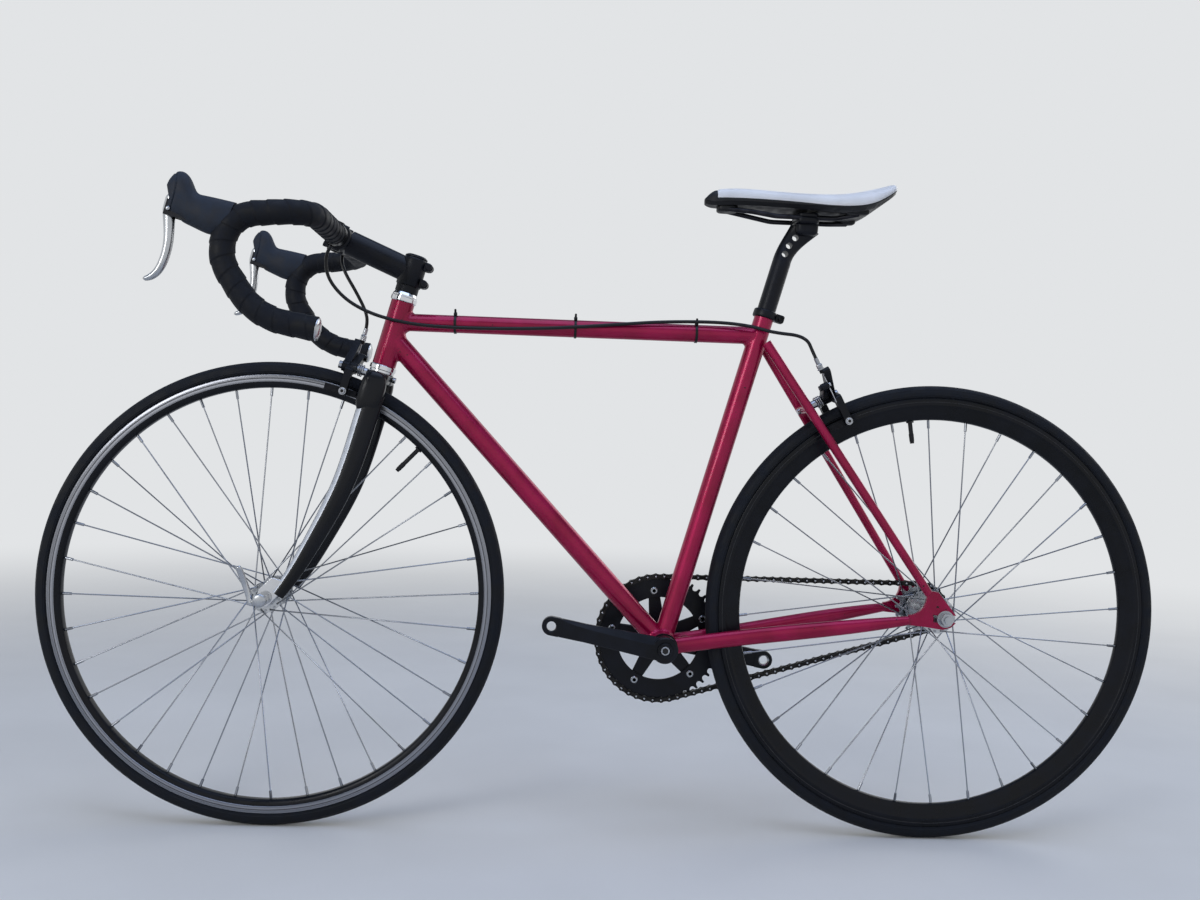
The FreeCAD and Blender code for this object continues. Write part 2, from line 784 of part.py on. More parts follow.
# Bottom bracket: a cup in each side of the shell carries the spindle.
cup_run = "spindle_radius + running_gap"
bracket_cups = []
for side, name in zip(LEFT_AND_RIGHT, ("left", "right")):
    face = "%d * shell_half" % side
    outer = "%d * (shell_half + cup_flange_thick)" % side
    inner = "%d * (shell_half / 2)" % side
    points = [(cup_run, inner), ("shell_radius - shell_wall - seat_gap", inner),
              ("shell_radius - shell_wall - seat_gap", face),
              ("cup_flange", face), ("cup_flange", outer), (cup_run, outer)]
    bracket_cups.append(turned("bracket_cup_" + name, points, BRACKET))
together("bottom_bracket_cups", *bracket_cups)

# Seat collar: a split ring round the top of the seat tube, pulled up by a bolt through its rear lug.
collar_low = mm.seat_tube_length - mm.collar_height
COLLAR = SEAT.multiply(Placement(V(0, 0, collar_low), Rotation()))
collar_ring = cylinder("collar_ring", "collar_radius", "collar_height", COLLAR)
collar_lug = box("collar_lug", ("collar_radius + collar_lug_length", "2 * collar_lug_half",
                                "collar_height"),
                 V(0, -mm.collar_lug_half, 0), COLLAR)
collar_hole = cylinder("collar_hole", "seat_tube_radius + seat_gap", "collar_height", COLLAR)
collar_split = box("collar_split", ("collar_radius + collar_lug_length + overrun", "collar_slot",
                                    "collar_height"),
                   V(0, -mm.collar_slot / 2, 0), COLLAR)
bolt_place = COLLAR.multiply(Placement(V(mm.collar_radius + mm.collar_lug_length / 2,
                                         -mm.collar_lug_half - mm.bolt_head_length,
                                         mm.collar_height / 2), ACROSS))
collar_bolt_length = "2 * collar_lug_half + bolt_head_length"
collar_bolt_hole = cylinder("collar_bolt_hole", "bolt_radius + seat_gap", collar_bolt_length, bolt_place)
collar_body = cut("collar_body", fused("collar_blank", collar_ring, collar_lug), collar_hole, collar_split,
                  collar_bolt_hole)
collar_bolt = fused("collar_bolt", cylinder("collar_bolt_shank", "bolt_radius", collar_bolt_length,
                                            bolt_place),
                    cylinder("collar_bolt_head", "bolt_head_radius", "bolt_head_length", bolt_place))
together("seat_collar", collar_body, collar_bolt)

# Wheels: box section rims with a tyre well, and a valve hole on the stated angle.
rim_inside = "(rim_half - rim_hook)"


def radial(hub, angle, start, length, radius, label):
    """A rod pointing at the hub along one angle of the wheel, counted from the back upwards."""
    turn = math.radians(angle)
    inward = V(-math.cos(turn), math.sin(turn), 0)
    frame = hub.multiply(Placement(inward * -start, Rotation(UP, inward)))
    return cylinder(label, radius, length, frame)


def rim(label, hub, inner_radius, inner_half, valve_angle):
    blank = turned(label + "_blank", [
        ("rim_edge_radius", "rim_half"), ("rim_edge_radius", rim_inside), ("rim_bed_radius", rim_inside),
        ("rim_bed_radius", "-" + rim_inside), ("rim_edge_radius", "-" + rim_inside),
        ("rim_edge_radius", "-rim_half"),
        ("rim_edge_radius - rim_track", "-rim_half"), (inner_radius, "-" + inner_half),
        (inner_radius, inner_half),
        ("rim_edge_radius - rim_track", "rim_half")], hub)
    high = "rim_edge_radius - rim_track"
    hollowed(blank, [(high, "rim_half - rim_wall"), (high, "-(rim_half - rim_wall)"),
                     (inner_radius + " + rim_wall", "-(%s - rim_wall)" % inner_half),
                     (inner_radius + " + rim_wall", "%s - rim_wall" % inner_half)])
    reach = "rim_edge_radius - %s + overrun" % inner_radius
    hole = radial(hub, valve_angle, mm.rim_edge_radius, reach, "valve_radius + clear_gap",
                  label + "_valve_hole")
    return cut(label, blank, hole)


rim("front_rim", FRONT_HUB, "front_rim_radius", "front_rim_inner_half", mm.front_valve_angle)
rim("rear_rim", REAR_HUB, "rear_rim_radius", "rear_rim_inner_half", mm.rear_valve_angle)


def section_point(radius, height):
    return V(radius, 0, height)


def tyre(label, hub):
    """A round tyre whose beads hook into the rim; the section is two arcs and its bead flanks."""
    middle = mm.tyre_radius - mm.tyre_width / 2
    outer, inner = mm.tyre_width / 2, mm.tyre_width / 2 - mm.tyre_wall
    foot = mm.rim_edge_radius + mm.clear_gap
    foot_half = math.sqrt(outer ** 2 - (middle - foot) ** 2)
    flank = mm.rim_half - mm.rim_hook - mm.seat_gap
    throat = flank - mm.tyre_wall
    throat_radius = middle - math.sqrt(inner ** 2 - throat ** 2)
    bead = mm.rim_bed_radius + mm.seat_gap
    p = section_point
    edges = [
        Part.Arc(p(foot, foot_half), p(mm.tyre_radius, 0), p(foot, -foot_half)).toShape(),
        Part.LineSegment(p(foot, -foot_half), p(foot, -flank)).toShape(),
        Part.LineSegment(p(foot, -flank), p(bead, -flank)).toShape(),
        Part.LineSegment(p(bead, -flank), p(bead, -throat)).toShape(),
        Part.LineSegment(p(bead, -throat), p(throat_radius, -throat)).toShape(),
        Part.Arc(p(throat_radius, -throat), p(middle + inner, 0), p(throat_radius, throat)).toShape(),
        Part.LineSegment(p(throat_radius, throat), p(bead, throat)).toShape(),
        Part.LineSegment(p(bead, throat), p(bead, flank)).toShape(),
        Part.LineSegment(p(bead, flank), p(foot, flank)).toShape(),
        Part.LineSegment(p(foot, flank), p(foot, foot_half)).toShape()]
    return formed(label, Part.Face(Part.Wire(edges)).revolve(V(), UP, 360), hub)


def inner_tube(label, hub, angle, rim_radius, valve_length):
    """A rubber ring inside the tyre with its valve through the rim."""
    skin = named("Part::Torus", label + "_skin")
    air = named("Part::Torus", label + "_air")
    for ring, width in ((skin, "tube_radius"), (air, "tube_radius - tube_skin")):
        ring.setExpression("Radius1", bound("tyre_radius - tyre_width / 2"))
        ring.setExpression("Radius2", bound(width))
        ring.Placement = hub
    start = mm.tyre_radius - mm.tyre_width / 2 - mm.tube_radius + mm.tube_skin / 2
    length = "%.9f - %s + %s" % (start, rim_radius, valve_length)
    valve = radial(hub, angle, start, length, "valve_radius", label + "_valve")
    return fused(label, cut(label + "_ring", skin, air), valve)


tyre("front_tyre", FRONT_HUB)
tyre("rear_tyre", REAR_HUB)
inner_tube("front_inner_tube", FRONT_HUB, mm.front_valve_angle, "front_rim_radius", "front_valve_length")
inner_tube("rear_inner_tube", REAR_HUB, mm.rear_valve_angle, "rear_rim_radius", "rear_valve_length")

# Hubs: two drilled flanges on a barrel, bored to run on the cones.
hub_bore = "cone_radius + running_gap"


def hub_profile(flange, flange_radius, barrel, end_left, end_right, right_radius):
    near_face = flange + " - flange_thick / 2"
    far_face = flange + " + flange_thick / 2"
    return [(hub_bore, "-(%s)" % end_left), ("hub_end_radius", "-(%s)" % end_left),
            ("hub_end_radius", "-(%s)" % far_face),
            (flange_radius, "-(%s)" % far_face), (flange_radius, "-(%s)" % near_face),
            (barrel, "-(%s)" % near_face),
            (barrel, near_face), (flange_radius, near_face), (flange_radius, far_face),
            (right_radius, far_face),
            (right_radius, end_right), (hub_bore, end_right)]


def hole_circle(flange_radius):
    return flange_radius - mm.flange_rim


def lacing(count, hub_phase):
    """Each spoke as (side, outer face or inner, angle at the hub, angle at the rim) in degrees."""
    step = 360 / count
    for side in LEFT_AND_RIGHT:
        for j in range(int(count) // 2):
            at_hub = hub_phase + 2 * step * j + (step if side > 0 else 0)
            lead = 1 if j % 2 == 0 else -1
            yield side, lead, at_hub, at_hub + lead * 2 * step * mm.spoke_crosses


def at_angle(radius, angle, height):
    turn = math.radians(angle)
    return V(radius * math.cos(turn), -radius * math.sin(turn), height)


def spoke(start, end, through, depth):
    """A wire with its elbow and head at the flange and its nipple at the rim."""
    along = (end - start).normalize()
    wire = Part.makeCylinder(mm.spoke_radius, (end - start).Length, start, along)
    nipple = Part.makeCylinder(mm.nipple_radius, mm.nipple_length, end - along * mm.nipple_length, along)
    elbow = Part.makeCylinder(mm.spoke_radius, depth + mm.spoke_head_thick, start, through)
    head = Part.makeCylinder(mm.spoke_head_radius, mm.spoke_head_thick, start + through * depth, through)
    return wire.multiFuse([nipple, elbow, head])


def spokes(label, hub, count, valve_angle, rim_radius, flange, flange_radius):
    phase = valve_angle + 180 / count
    ring = hole_circle(flange_radius)
    wires, holes = [], []
    for side, lead, at_hub, at_rim in lacing(count, phase):
        stand_off = mm.flange_thick / 2 + mm.spoke_radius + mm.seat_gap
        if lead > 0:
            stand_off += mm.spoke_bow
        start = at_angle(ring, at_hub, side * (flange + lead * stand_off))
        end = at_angle(rim_radius - mm.clear_gap, at_rim, side * mm.rim_spoke_offset)
        depth = stand_off + mm.flange_thick / 2 + mm.seat_gap
        wires.append(spoke(start, end, UP * (-lead * side), depth))
        holes.append(Part.makeCylinder(mm.spoke_hole_radius, mm.flange_thick + 2 * mm.overrun,
                                       at_angle(ring, at_hub,
                                                side * flange - mm.flange_thick / 2 - mm.overrun), UP))
    formed(label, Part.makeCompound(wires), hub)
    return formed(label + "_holes", Part.makeCompound(holes), hub)


front_end = "front_spacing / 2 - hub_end_gap"
front_hub_blank = turned("front_hub_blank", hub_profile("front_flange", "front_flange_radius",
                                                        "front_barrel_radius",
                                                        front_end, front_end, "hub_end_radius"), FRONT_HUB)
front_holes = spokes("front_spokes", FRONT_HUB, mm.front_spokes, mm.front_valve_angle, mm.front_rim_radius,
                     mm.front_flange, mm.front_flange_radius)
cut("front_hub", front_hub_blank, front_holes)
rear_end = "rear_spacing / 2 - hub_end_gap - hub_end_gap"
rear_right_end = "chainline + ring_thick / 2 + lockring_thick"
rear_hub_blank = turned("rear_hub_blank", hub_profile("rear_flange", "rear_flange_radius",
                                                      "rear_barrel_radius",
                                                      rear_end, rear_right_end, "rear_thread_radius"),
                        REAR_HUB)
rear_holes = spokes("rear_spokes", REAR_HUB, mm.rear_spokes, mm.rear_valve_angle, mm.rear_rim_radius,
                    mm.rear_flange, mm.rear_flange_radius)
cut("rear_hub", rear_hub_blank, rear_holes)

# Axles: each carries two cones that the hub runs on, and is clamped in its dropouts.


def axle_profile(radius, half, spacing):
    """Half of a stepped axle from its middle to one end, as (radius, height) corners."""
    face = "(%s) / 2" % spacing
    cone_end = face + " - locknut_length"
    return [(radius, cone_end + " - cone_length"), ("cone_radius", cone_end + " - cone_length"),
            ("cone_radius", cone_end),
            ("locknut_radius", cone_end), ("locknut_radius", face), (radius, face), (radius, half)]


def axle(label, radius, half, spacing, bore, hub):
    side = axle_profile(radius, half, spacing)
    mirrored_side = [(r, "-(%s)" % z) for r, z in reversed(side)]
    return turned(label, [(bore, "-(%s)" % half)] + mirrored_side + side + [(bore, half)], hub)


rear_axle_rod = axle("rear_axle_rod", "rear_axle_radius", "rear_axle_half", "rear_spacing", "0", REAR_HUB)
rear_nuts = []
for side in LEFT_AND_RIGHT:
    face = dropout_inner + mm.dropout_thick
    direction = RIGHT * side
    washer_place = Placement(rear_axle + direction * face, Rotation(UP, direction))
    nut_place = Placement(rear_axle + direction * (face + mm.washer_thick), Rotation(UP, direction))
    washer = cylinder("washer_%d" % side, "washer_radius", "washer_thick", washer_place)
    nut = named("Part::Prism", "track_nut_%d" % side)
    nut.Polygon = 6
    nut.setExpression("Circumradius", bound("track_nut_radius"))
    nut.setExpression("Height", bound("track_nut_length"))
    nut.Placement = nut_place
    bore = cylinder("track_nut_bore_%d" % side, "rear_axle_radius + seat_gap",
                    "washer_thick + track_nut_length",
                    washer_place)
    rear_nuts.append(cut("track_nut_set_%d" % side, fused("track_nut_blank_%d" % side, washer, nut), bore))
together("rear_axle", rear_axle_rod, *rear_nuts)

# Fixed cog and its lockring on the rear hub's thread.
chain_heading = math.atan2(axle_rise, rear_axle.x - bracket.x)
lean = chain_lean(chain_reach)
straight = chain_reach * math.cos(lean)
cog_wrap = cog_radius * (math.pi - 2 * lean)
ring_wrap = ring_radius * (math.pi + 2 * lean)
loop = mm.chain_links * mm.chain_pitch
ring_middle = 2 * straight + cog_wrap + ring_wrap / 2


def on_loop(distance):
    """Point of the chain's pitch line, counted from where the upper run leaves the ring."""
    distance = distance % loop
    above = chain_heading + math.pi / 2 - lean
    below = chain_heading - math.pi / 2 + lean
    if distance < straight:
        turn, centre, radius, rest = above, bracket, ring_radius, distance
    elif distance < straight + cog_wrap:
        turn, centre, radius, rest = above - (distance - straight) / cog_radius, rear_axle, cog_radius, 0
    elif distance < 2 * straight + cog_wrap:
        turn, centre, radius, rest = below, rear_axle, cog_radius, distance - straight - cog_wrap
    else:
        wrapped = distance - 2 * straight - cog_wrap
        turn, centre, radius, rest = below - wrapped / ring_radius, bracket, ring_radius, 0
    out = V(math.cos(turn), 0, math.sin(turn))
    run = V(math.sin(turn), 0, -math.cos(turn))
    return centre + out * radius + run * rest


pins = [on_loop(ring_middle + k * mm.chain_pitch) for k in range(int(mm.chain_links))]
cog_pin = max(pins, key=lambda p: (p - rear_axle).dot(rear_axle - bracket))
cog_turn = math.degrees(math.atan2(cog_pin.z - rear_axle.z, cog_pin.x - rear_axle.x))
ring_turn = math.degrees(chain_heading) + 180


def toothed(label, frame, turn, teeth, radius, bore):
    """A flat toothed wheel; its gaps seat the chain's rollers on the pitch circle and open outwards."""
    body = new_body(label, frame.multiply(Placement(V(), Rotation(UP, -turn))))
    pitch = "%.9f" % radius
    tip = pitch + " + tooth_height + overrun"

    def disc(sketch):
        draw_circle(sketch, "0", "0", pitch + " + tooth_height")
        draw_circle(sketch, "0", "0", bore)

    padded(body, "disc", disc, "chainline - ring_thick / 2", "ring_thick")
    doc.recompute()
    gap = bored(body, "gap", lambda sketch: draw_circle(sketch, pitch, "0", "roller_seat"))
    doc.recompute()
    repeated(body, gap, teeth)
    doc.recompute()
    flank = bored(body, "flank", lambda sketch: draw_outline(sketch, [
        (pitch, "-roller_seat"), (tip, "-(roller_seat + tooth_taper)"), (tip, "roller_seat + tooth_taper"),
        (pitch, "roller_seat")]))
    doc.recompute()
    repeated(body, flank, teeth)
    doc.recompute()
    return body


cog = toothed("cog", REAR_HUB, cog_turn, "cog_teeth", cog_radius, "rear_thread_radius + seat_gap")
lockring = turned("lockring", [("rear_thread_radius + seat_gap", "chainline + ring_thick / 2"),
                               ("lockring_radius", "chainline + ring_thick / 2"),
                               ("lockring_radius", "chainline + ring_thick / 2 + lockring_thick"),
                               ("rear_thread_radius + seat_gap",
                                "chainline + ring_thick / 2 + lockring_thick")], REAR_HUB)
together("rear_cog", cog, lockring)

# Chain: inner links with rollers and outer links with pins, laid along the pitch line.


def link_plate(y, thick):
    """A plate with round ends over two pins and a waist between them."""
    half, pitch, waist = mm.link_half_height, mm.chain_pitch, mm.link_waist
    edges = [Part.Arc(V(0, y, half), V(pitch / 2, y, waist), V(pitch, y, half)).toShape(),
             Part.Arc(V(pitch, y, half), V(pitch + half, y, 0), V(pitch, y, -half)).toShape(),
             Part.Arc(V(pitch, y, -half), V(pitch / 2, y, -waist), V(0, y, -half)).toShape(),
             Part.Arc(V(0, y, -half), V(-half, y, 0), V(0, y, half)).toShape()]
    return Part.Face(Part.Wire(edges)).extrude(RIGHT * thick)


def rods(radius, half):
    ends = (V(0, -half, 0), V(mm.chain_pitch, -half, 0))
    return [Part.makeCylinder(radius, 2 * half, end, RIGHT) for end in ends]


inner_half = mm.inner_width / 2
outer_half = inner_half + mm.plate_thick + mm.plate_gap
pin_half = outer_half + mm.plate_thick + mm.pin_stub
inner_link = link_plate(inner_half, mm.plate_thick).multiFuse(
    [link_plate(-inner_half - mm.plate_thick, mm.plate_thick), *rods(mm.roller_radius, inner_half)])
inner_link = inner_link.cut(Part.makeCompound(rods(mm.pin_radius + mm.pin_play, pin_half)))
outer_link = link_plate(outer_half, mm.plate_thick).multiFuse(
    [link_plate(-outer_half - mm.plate_thick, mm.plate_thick), *rods(mm.pin_radius, pin_half)])
links = []
for k, pin in enumerate(pins):
    following = pins[(k + 1) % len(pins)] - pin
    link = (inner_link if k % 2 == 0 else outer_link).copy()
    link.Placement = Placement(pin + RIGHT * mm.chainline,
                               Rotation(RIGHT, -math.degrees(math.atan2(following.z, following.x))))
    links.append(link)
formed("chain", Part.makeCompound(links))

# Crank set: the spindle carries a plain left arm and a right arm with a five-arm spider.
turned("crank_spindle", [("0", "-spindle_half"), ("spindle_radius", "-spindle_half"),
                         ("spindle_radius", "spindle_half"),
                         ("0", "spindle_half")], BRACKET)


def crank_outline(sketch):
    """A tapered arm from the spindle to the pedal eye."""
    draw_outline(sketch, [("0", "-crank_root_half"), ("crank_length", "-crank_tip_half"),
                          ("crank_length", "crank_tip_half"), ("0", "crank_root_half")])


def crank(label, direction, outward):
    """A crank arm pointing at an angle in side view; outward is -1 on the left and 1 on the right."""
    turn = Rotation(RIGHT, -direction).multiply(ACROSS if outward > 0 else Rotation(ALONG, 90))
    body = new_body(label, Placement(bracket, turn))
    padded(body, "boss", lambda sketch: draw_circle(sketch, "0", "0", "crank_boss_radius"),
           "crank_boss_inner",
           "crank_inner + crank_thick - crank_boss_inner")
    padded(body, "arm", crank_outline, "crank_inner", "crank_thick")
    padded(body, "eye", lambda sketch: draw_circle(sketch, "crank_length", "0", "pedal_eye_radius"),
           "crank_inner",
           "crank_thick")
    bored(body, "pedal_hole", lambda sketch: draw_circle(sketch, "crank_length", "0", "pedal_hole_radius"))
    bored(body, "spindle_hole", lambda sketch: draw_circle(sketch, "0", "0", "spindle_radius + seat_gap"))
    return body


left_arm = crank("left_crank_arm", 180 - mm.crank_angle, -1)
right_arm = crank("right_crank_arm", -mm.crank_angle, 1)
caps = []
for side, name in zip(LEFT_AND_RIGHT, ("left", "right")):
    face = bracket + RIGHT * (side * (mm.crank_inner + mm.crank_thick))
    caps.append(cylinder("crank_cap_" + name, "crank_cap_radius", "crank_cap_thick",
                         Placement(face, Rotation(UP, RIGHT * side))))
together("left_crank", left_arm, caps[0])

spider_angle = -mm.crank_angle + 180 / mm.spider_arms
SPIDER = Placement(bracket, Rotation(RIGHT, -spider_angle).multiply(ACROSS))
spider_start = "chainline + ring_thick / 2"


def spider_hole(sketch):
    draw_circle(sketch, "bolt_circle_radius", "0", "ring_bolt_radius + seat_gap")


spider = new_body("spider", SPIDER)
padded(spider, "hub", lambda sketch: draw_circle(sketch, "0", "0", "crank_boss_radius + spider_thick"),
       spider_start,
       "spider_thick")
doc.recompute()
arm_pad = padded(spider, "arm", lambda sketch: draw_outline(sketch, [
    ("0", "-spider_root_half"), ("spider_tip_radius", "-spider_tip_half"),
    ("spider_tip_radius", "spider_tip_half"),
    ("0", "spider_root_half")]), spider_start, "spider_thick")
doc.recompute()
repeated(spider, arm_pad, "spider_arms")
doc.recompute()
hole_cut = bored(spider, "bolt_hole", spider_hole)
doc.recompute()
repeated(spider, hole_cut, "spider_arms")
doc.recompute()
boss_hole = cylinder("spider_boss_hole", "crank_boss_radius", "crank_inner + crank_thick", BRACKET)
spider_trim = cut("spider_trim", spider, boss_hole)
arm_core = box("right_arm_core", ("crank_length", "2 * crank_root_half", "crank_thick"),
               V(0, -mm.crank_root_half, mm.crank_inner), right_arm.Placement)
right_assembly = fused("right_crank_body", right_arm, cut("spider_ring", spider_trim, arm_core))
together("right_crank", right_assembly, caps[1])

chainring_blank = toothed("chainring_blank", BRACKET, ring_turn, "ring_teeth", ring_radius,
                          "ring_inner_radius")
bolt_places = []
for k in range(int(mm.spider_arms)):
    turn = math.radians(spider_angle + 360 / mm.spider_arms * k)
    bolt_places.append(bracket + V(math.cos(turn), 0, math.sin(turn)) * mm.bolt_circle_radius)
bolt_low = mm.chainline - mm.ring_thick / 2 - mm.ring_bolt_head_thick
bolt_length = "ring_thick + spider_thick + 2 * ring_bolt_head_thick"
ring_bolts, ring_bolt_holes = [], []
for k, place in enumerate(bolt_places):
    frame = Placement(place + RIGHT * bolt_low, ACROSS)
    outer_head = Placement(place + RIGHT * (mm.chainline + mm.ring_thick / 2 + mm.spider_thick), ACROSS)
    ring_bolts.append(fused("ring_bolt_%d" % k,
                            cylinder("ring_bolt_shank_%d" % k, "ring_bolt_radius", bolt_length, frame),
                            cylinder("ring_bolt_nut_%d" % k, "ring_bolt_head", "ring_bolt_head_thick",
                                     frame),
                            cylinder("ring_bolt_cap_%d" % k, "ring_bolt_head", "ring_bolt_head_thick",
                                     outer_head)))
    ring_bolt_holes.append(cylinder("ring_bolt_hole_%d" % k, "ring_bolt_radius + seat_gap", bolt_length,
                                    frame))
cut("chainring", chainring_blank, *ring_bolt_holes)
together("chainring_bolts", *ring_bolts)

# Fork: a forged crown with two shoulders, oval raked blades and flat tips.
crown_top = -mm.crown_top_gap
shoulder_low = crown_top - mm.shoulder_height
shoulder_shares = [(0.0, 0.97), (0.45, 1.0), (0.8, 0.92), (1.0, 0.62)]
shoulders = []
for side in LEFT_AND_RIGHT:
    sections = [oval(V(0, side * mm.shoulder_spread, shoulder_low + up * mm.shoulder_height), UP, RIGHT,
                     wide * mm.shoulder_half_wide, wide * mm.shoulder_half_long)
                for up, wide in shoulder_shares]
    shoulders.append(formed("crown_shoulder_%d" % side, lofted(sections), STEER))
crown_bridge = box("crown_bridge_block", ("2 * crown_half - 2 * cup_edge", "2 * shoulder_spread",
                                          "crown_bridge"),
                   V(-mm.crown_half + mm.cup_edge, -mm.shoulder_spread, crown_top - mm.crown_bridge), STEER)
CROWN_LOW = STEER.multiply(Placement(V(0, 0, crown_top - mm.crown_bridge), Rotation()))
crown_boss = cylinder("crown_boss", "crown_boss_radius", "crown_bridge", CROWN_LOW)
steerer = cylinder("steerer", "steerer_radius", "%.9f + crown_bridge" % (stem_top - crown_top), CROWN_LOW)
steerer_hole = cylinder("steerer_hole", "steerer_radius - steerer_wall",
                        "%.9f + crown_bridge" % (stem_top - crown_top), CROWN_LOW)
FRONT_CALIPER = Placement(STEER.multVec(V(-mm.caliper_ahead, 0, -mm.caliper_below)), Rotation(
    FreeCAD.Matrix(0, STEER_TURN.multVec(UP).x, -STEER_TURN.multVec(ALONG).x, 0, -1, 0, 0, 0,
                   0, STEER_TURN.multVec(UP).z, -STEER_TURN.multVec(ALONG).z, 0, 0, 0, 0, 1)))
front_bolt_start = V(mm.crown_half + mm.bolt_head_length, 0, -mm.caliper_below)
front_bolt_length = mm.crown_half + mm.bolt_head_length + mm.caliper_ahead
FRONT_BOLT = Placement(STEER.multVec(front_bolt_start), FRONT_CALIPER.Rotation)
crown_hole = cylinder("crown_hole", "caliper_bolt_radius + seat_gap", "%.9f" % front_bolt_length,
                      FRONT_BOLT)
cut("fork_crown", fused("crown_blank", *shoulders, crown_bridge, crown_boss, steerer), steerer_hole,
    crown_hole)

blade_run = mm.fork_drop + shoulder_low
blade_shares = [(0.0, 0.055, 0.0, 0.0), (0.15, 0.05, 0.05, 0.02), (0.42, 0.0, 0.25, 0.18),
                (0.70, -0.28, 0.50, 0.55),
                (0.88, -0.53, 0.75, 0.85), (0.965, -0.69, 0.92, 1.0)]
tip_middle = mm.front_spacing / 2 + mm.fork_tip_thick / 2


def blade_sections(side, wall):
    """Ovals down one blade, or down its bore when a wall is taken off."""
    spread = tip_middle - mm.shoulder_spread
    middles = [V(ahead * mm.fork_rake, side * (mm.shoulder_spread + out * spread),
                 shoulder_low - down * blade_run)
               for down, ahead, out, thin in blade_shares]
    sections = []
    for i, (middle, (down, ahead, out, thin)) in enumerate(zip(middles, blade_shares)):
        along = middles[min(i + 1, len(middles) - 1)] - middles[max(i - 1, 0)]
        along = V(0, 0, -1) if i == 0 else along
        wide = mm.blade_half_wide + thin * (mm.blade_end_half_wide - mm.blade_half_wide) - wall
        long = mm.blade_half_long + thin * (mm.blade_end_half_long - mm.blade_half_long) - wall
        sections.append(oval(middle, along, RIGHT, wide, long))
    return sections


blades, blade_bores, tips = [], [], []
for side in LEFT_AND_RIGHT:
    blades.append(formed("fork_blade_blank_%d" % side, lofted(blade_sections(side, 0)), STEER))
    blade_bores.append(formed("fork_blade_bore_%d" % side,
                              lofted(blade_sections(side, mm.blade_wall)[1:-1]), STEER))
    tip_turn = STEER_TURN.multiply(Rotation(ALONG, -90))
    inner = side * mm.front_spacing / 2 - (mm.fork_tip_thick if side < 0 else 0)
    tip = new_body("fork_tip_%d" % side, Placement(front_axle + RIGHT * inner, tip_turn))
    slot = "front_axle_radius + clear_gap"
    tip_points = [("-fork_tip_half", "fork_tip_half"), ("-(%s)" % slot, "fork_tip_half"),
                  ("-(%s)" % slot, "-(%s)" % slot),
                  (slot, "-(%s)" % slot), (slot, "fork_tip_half"), ("fork_tip_half", "fork_tip_half"),
                  ("fork_tip_half + 0.42 * fork_tip_length", "-0.55 * fork_tip_length"),
                  ("fork_tip_half + 0.30 * fork_tip_length", "-0.95 * fork_tip_length"),
                  ("0.10 * fork_tip_length", "-0.95 * fork_tip_length"),
                  ("-fork_tip_half", "-0.35 * fork_tip_length")]
    padded(tip, "outline", lambda sketch: draw_outline(sketch, tip_points), "0", "fork_tip_thick")
    tips.append(tip)
together("fork_blades", *[cut("fork_blade_%d" % side, blade, bore, tip)
                          for side, blade, bore, tip in zip(LEFT_AND_RIGHT, blades, blade_bores, tips)])
together("fork_tips", *tips)

# Front axle: hollow, with a skewer through it; the cam housing is on the left and the nut on the right.
front_half = "front_spacing / 2 + fork_tip_thick"
front_axle_rod = axle("front_axle_rod", "front_axle_radius", front_half, "front_spacing",
                      "skewer_radius + seat_gap", FRONT_HUB)
tip_outer = mm.front_spacing / 2 + mm.fork_tip_thick
LEFT_END = Placement(front_axle - RIGHT * tip_outer, Rotation(ALONG, 90))
RIGHT_END = Placement(front_axle + RIGHT * tip_outer, ACROSS)
release_turn = Rotation(RIGHT, -mm.release_lean)
cam_middle = front_axle - RIGHT * (tip_outer + mm.cam_housing_length - mm.cam_radius - mm.cam_cap_thick)
CAM = Placement(cam_middle, release_turn)
CAM_SHAFT = Placement(cam_middle + release_turn.multVec(ALONG) * mm.cam_housing_radius * 2,
                      release_turn.multiply(Rotation(UP, -ALONG)))
housing_blank = cylinder("cam_housing_blank", "cam_housing_radius", "cam_housing_length", LEFT_END)
cam_bore = cylinder("cam_bore", "cam_radius + running_gap", "4 * cam_housing_radius", CAM_SHAFT)
skewer_length = "2 * (front_spacing / 2 + fork_tip_thick) + skewer_nut_length / 2"
skewer_rod = cylinder("skewer_rod", "skewer_radius", skewer_length,
                      LEFT_END.multiply(Placement(V(), Rotation(ALONG, 180))))
skewer_nut = turned("skewer_nut", [("skewer_radius + seat_gap", "0"), ("skewer_nut_radius", "0"),
                                   ("skewer_nut_radius", "skewer_nut_length / 2"),
                                   ("skewer_nut_radius / 2", "skewer_nut_length"),
                                   ("skewer_radius + seat_gap", "skewer_nut_length")],
                    RIGHT_END)
together("front_axle", front_axle_rod, cut("cam_housing", housing_blank, cam_bore), skewer_rod, skewer_nut)

# Quick-release lever: a cam shaft across the housing with a curved paddle beside it.
release_shares = [(-0.10, -0.08), (0.10, -0.08), (0.12, 0.30), (0.20, 0.75), (0.28, 1.0), (0.17, 1.0),
                  (0.06, 0.75), (-0.10, 0.30)]
paddle = new_body("release_paddle", CAM.multiply(Placement(-ALONG * (mm.cam_housing_radius + mm.clear_gap),
                                                           Rotation(
    FreeCAD.Matrix(0, 0, -1, 0, -1, 0, 0, 0, 0, 1, 0, 0, 0, 0, 0, 1)))))
padded(paddle, "outline", lambda sketch: draw_outline(sketch, [
    ("%g * release_length" % x, "%g * release_length" % y) for x, y in release_shares]), "0",
       "release_thick")
cam_shaft = cylinder("cam_shaft", "cam_radius", "2 * cam_housing_radius + clear_gap",
                     Placement(cam_middle + release_turn.multVec(ALONG) * mm.cam_housing_radius,
                               CAM_SHAFT.Rotation))
fused("qr_lever", paddle, cam_shaft)

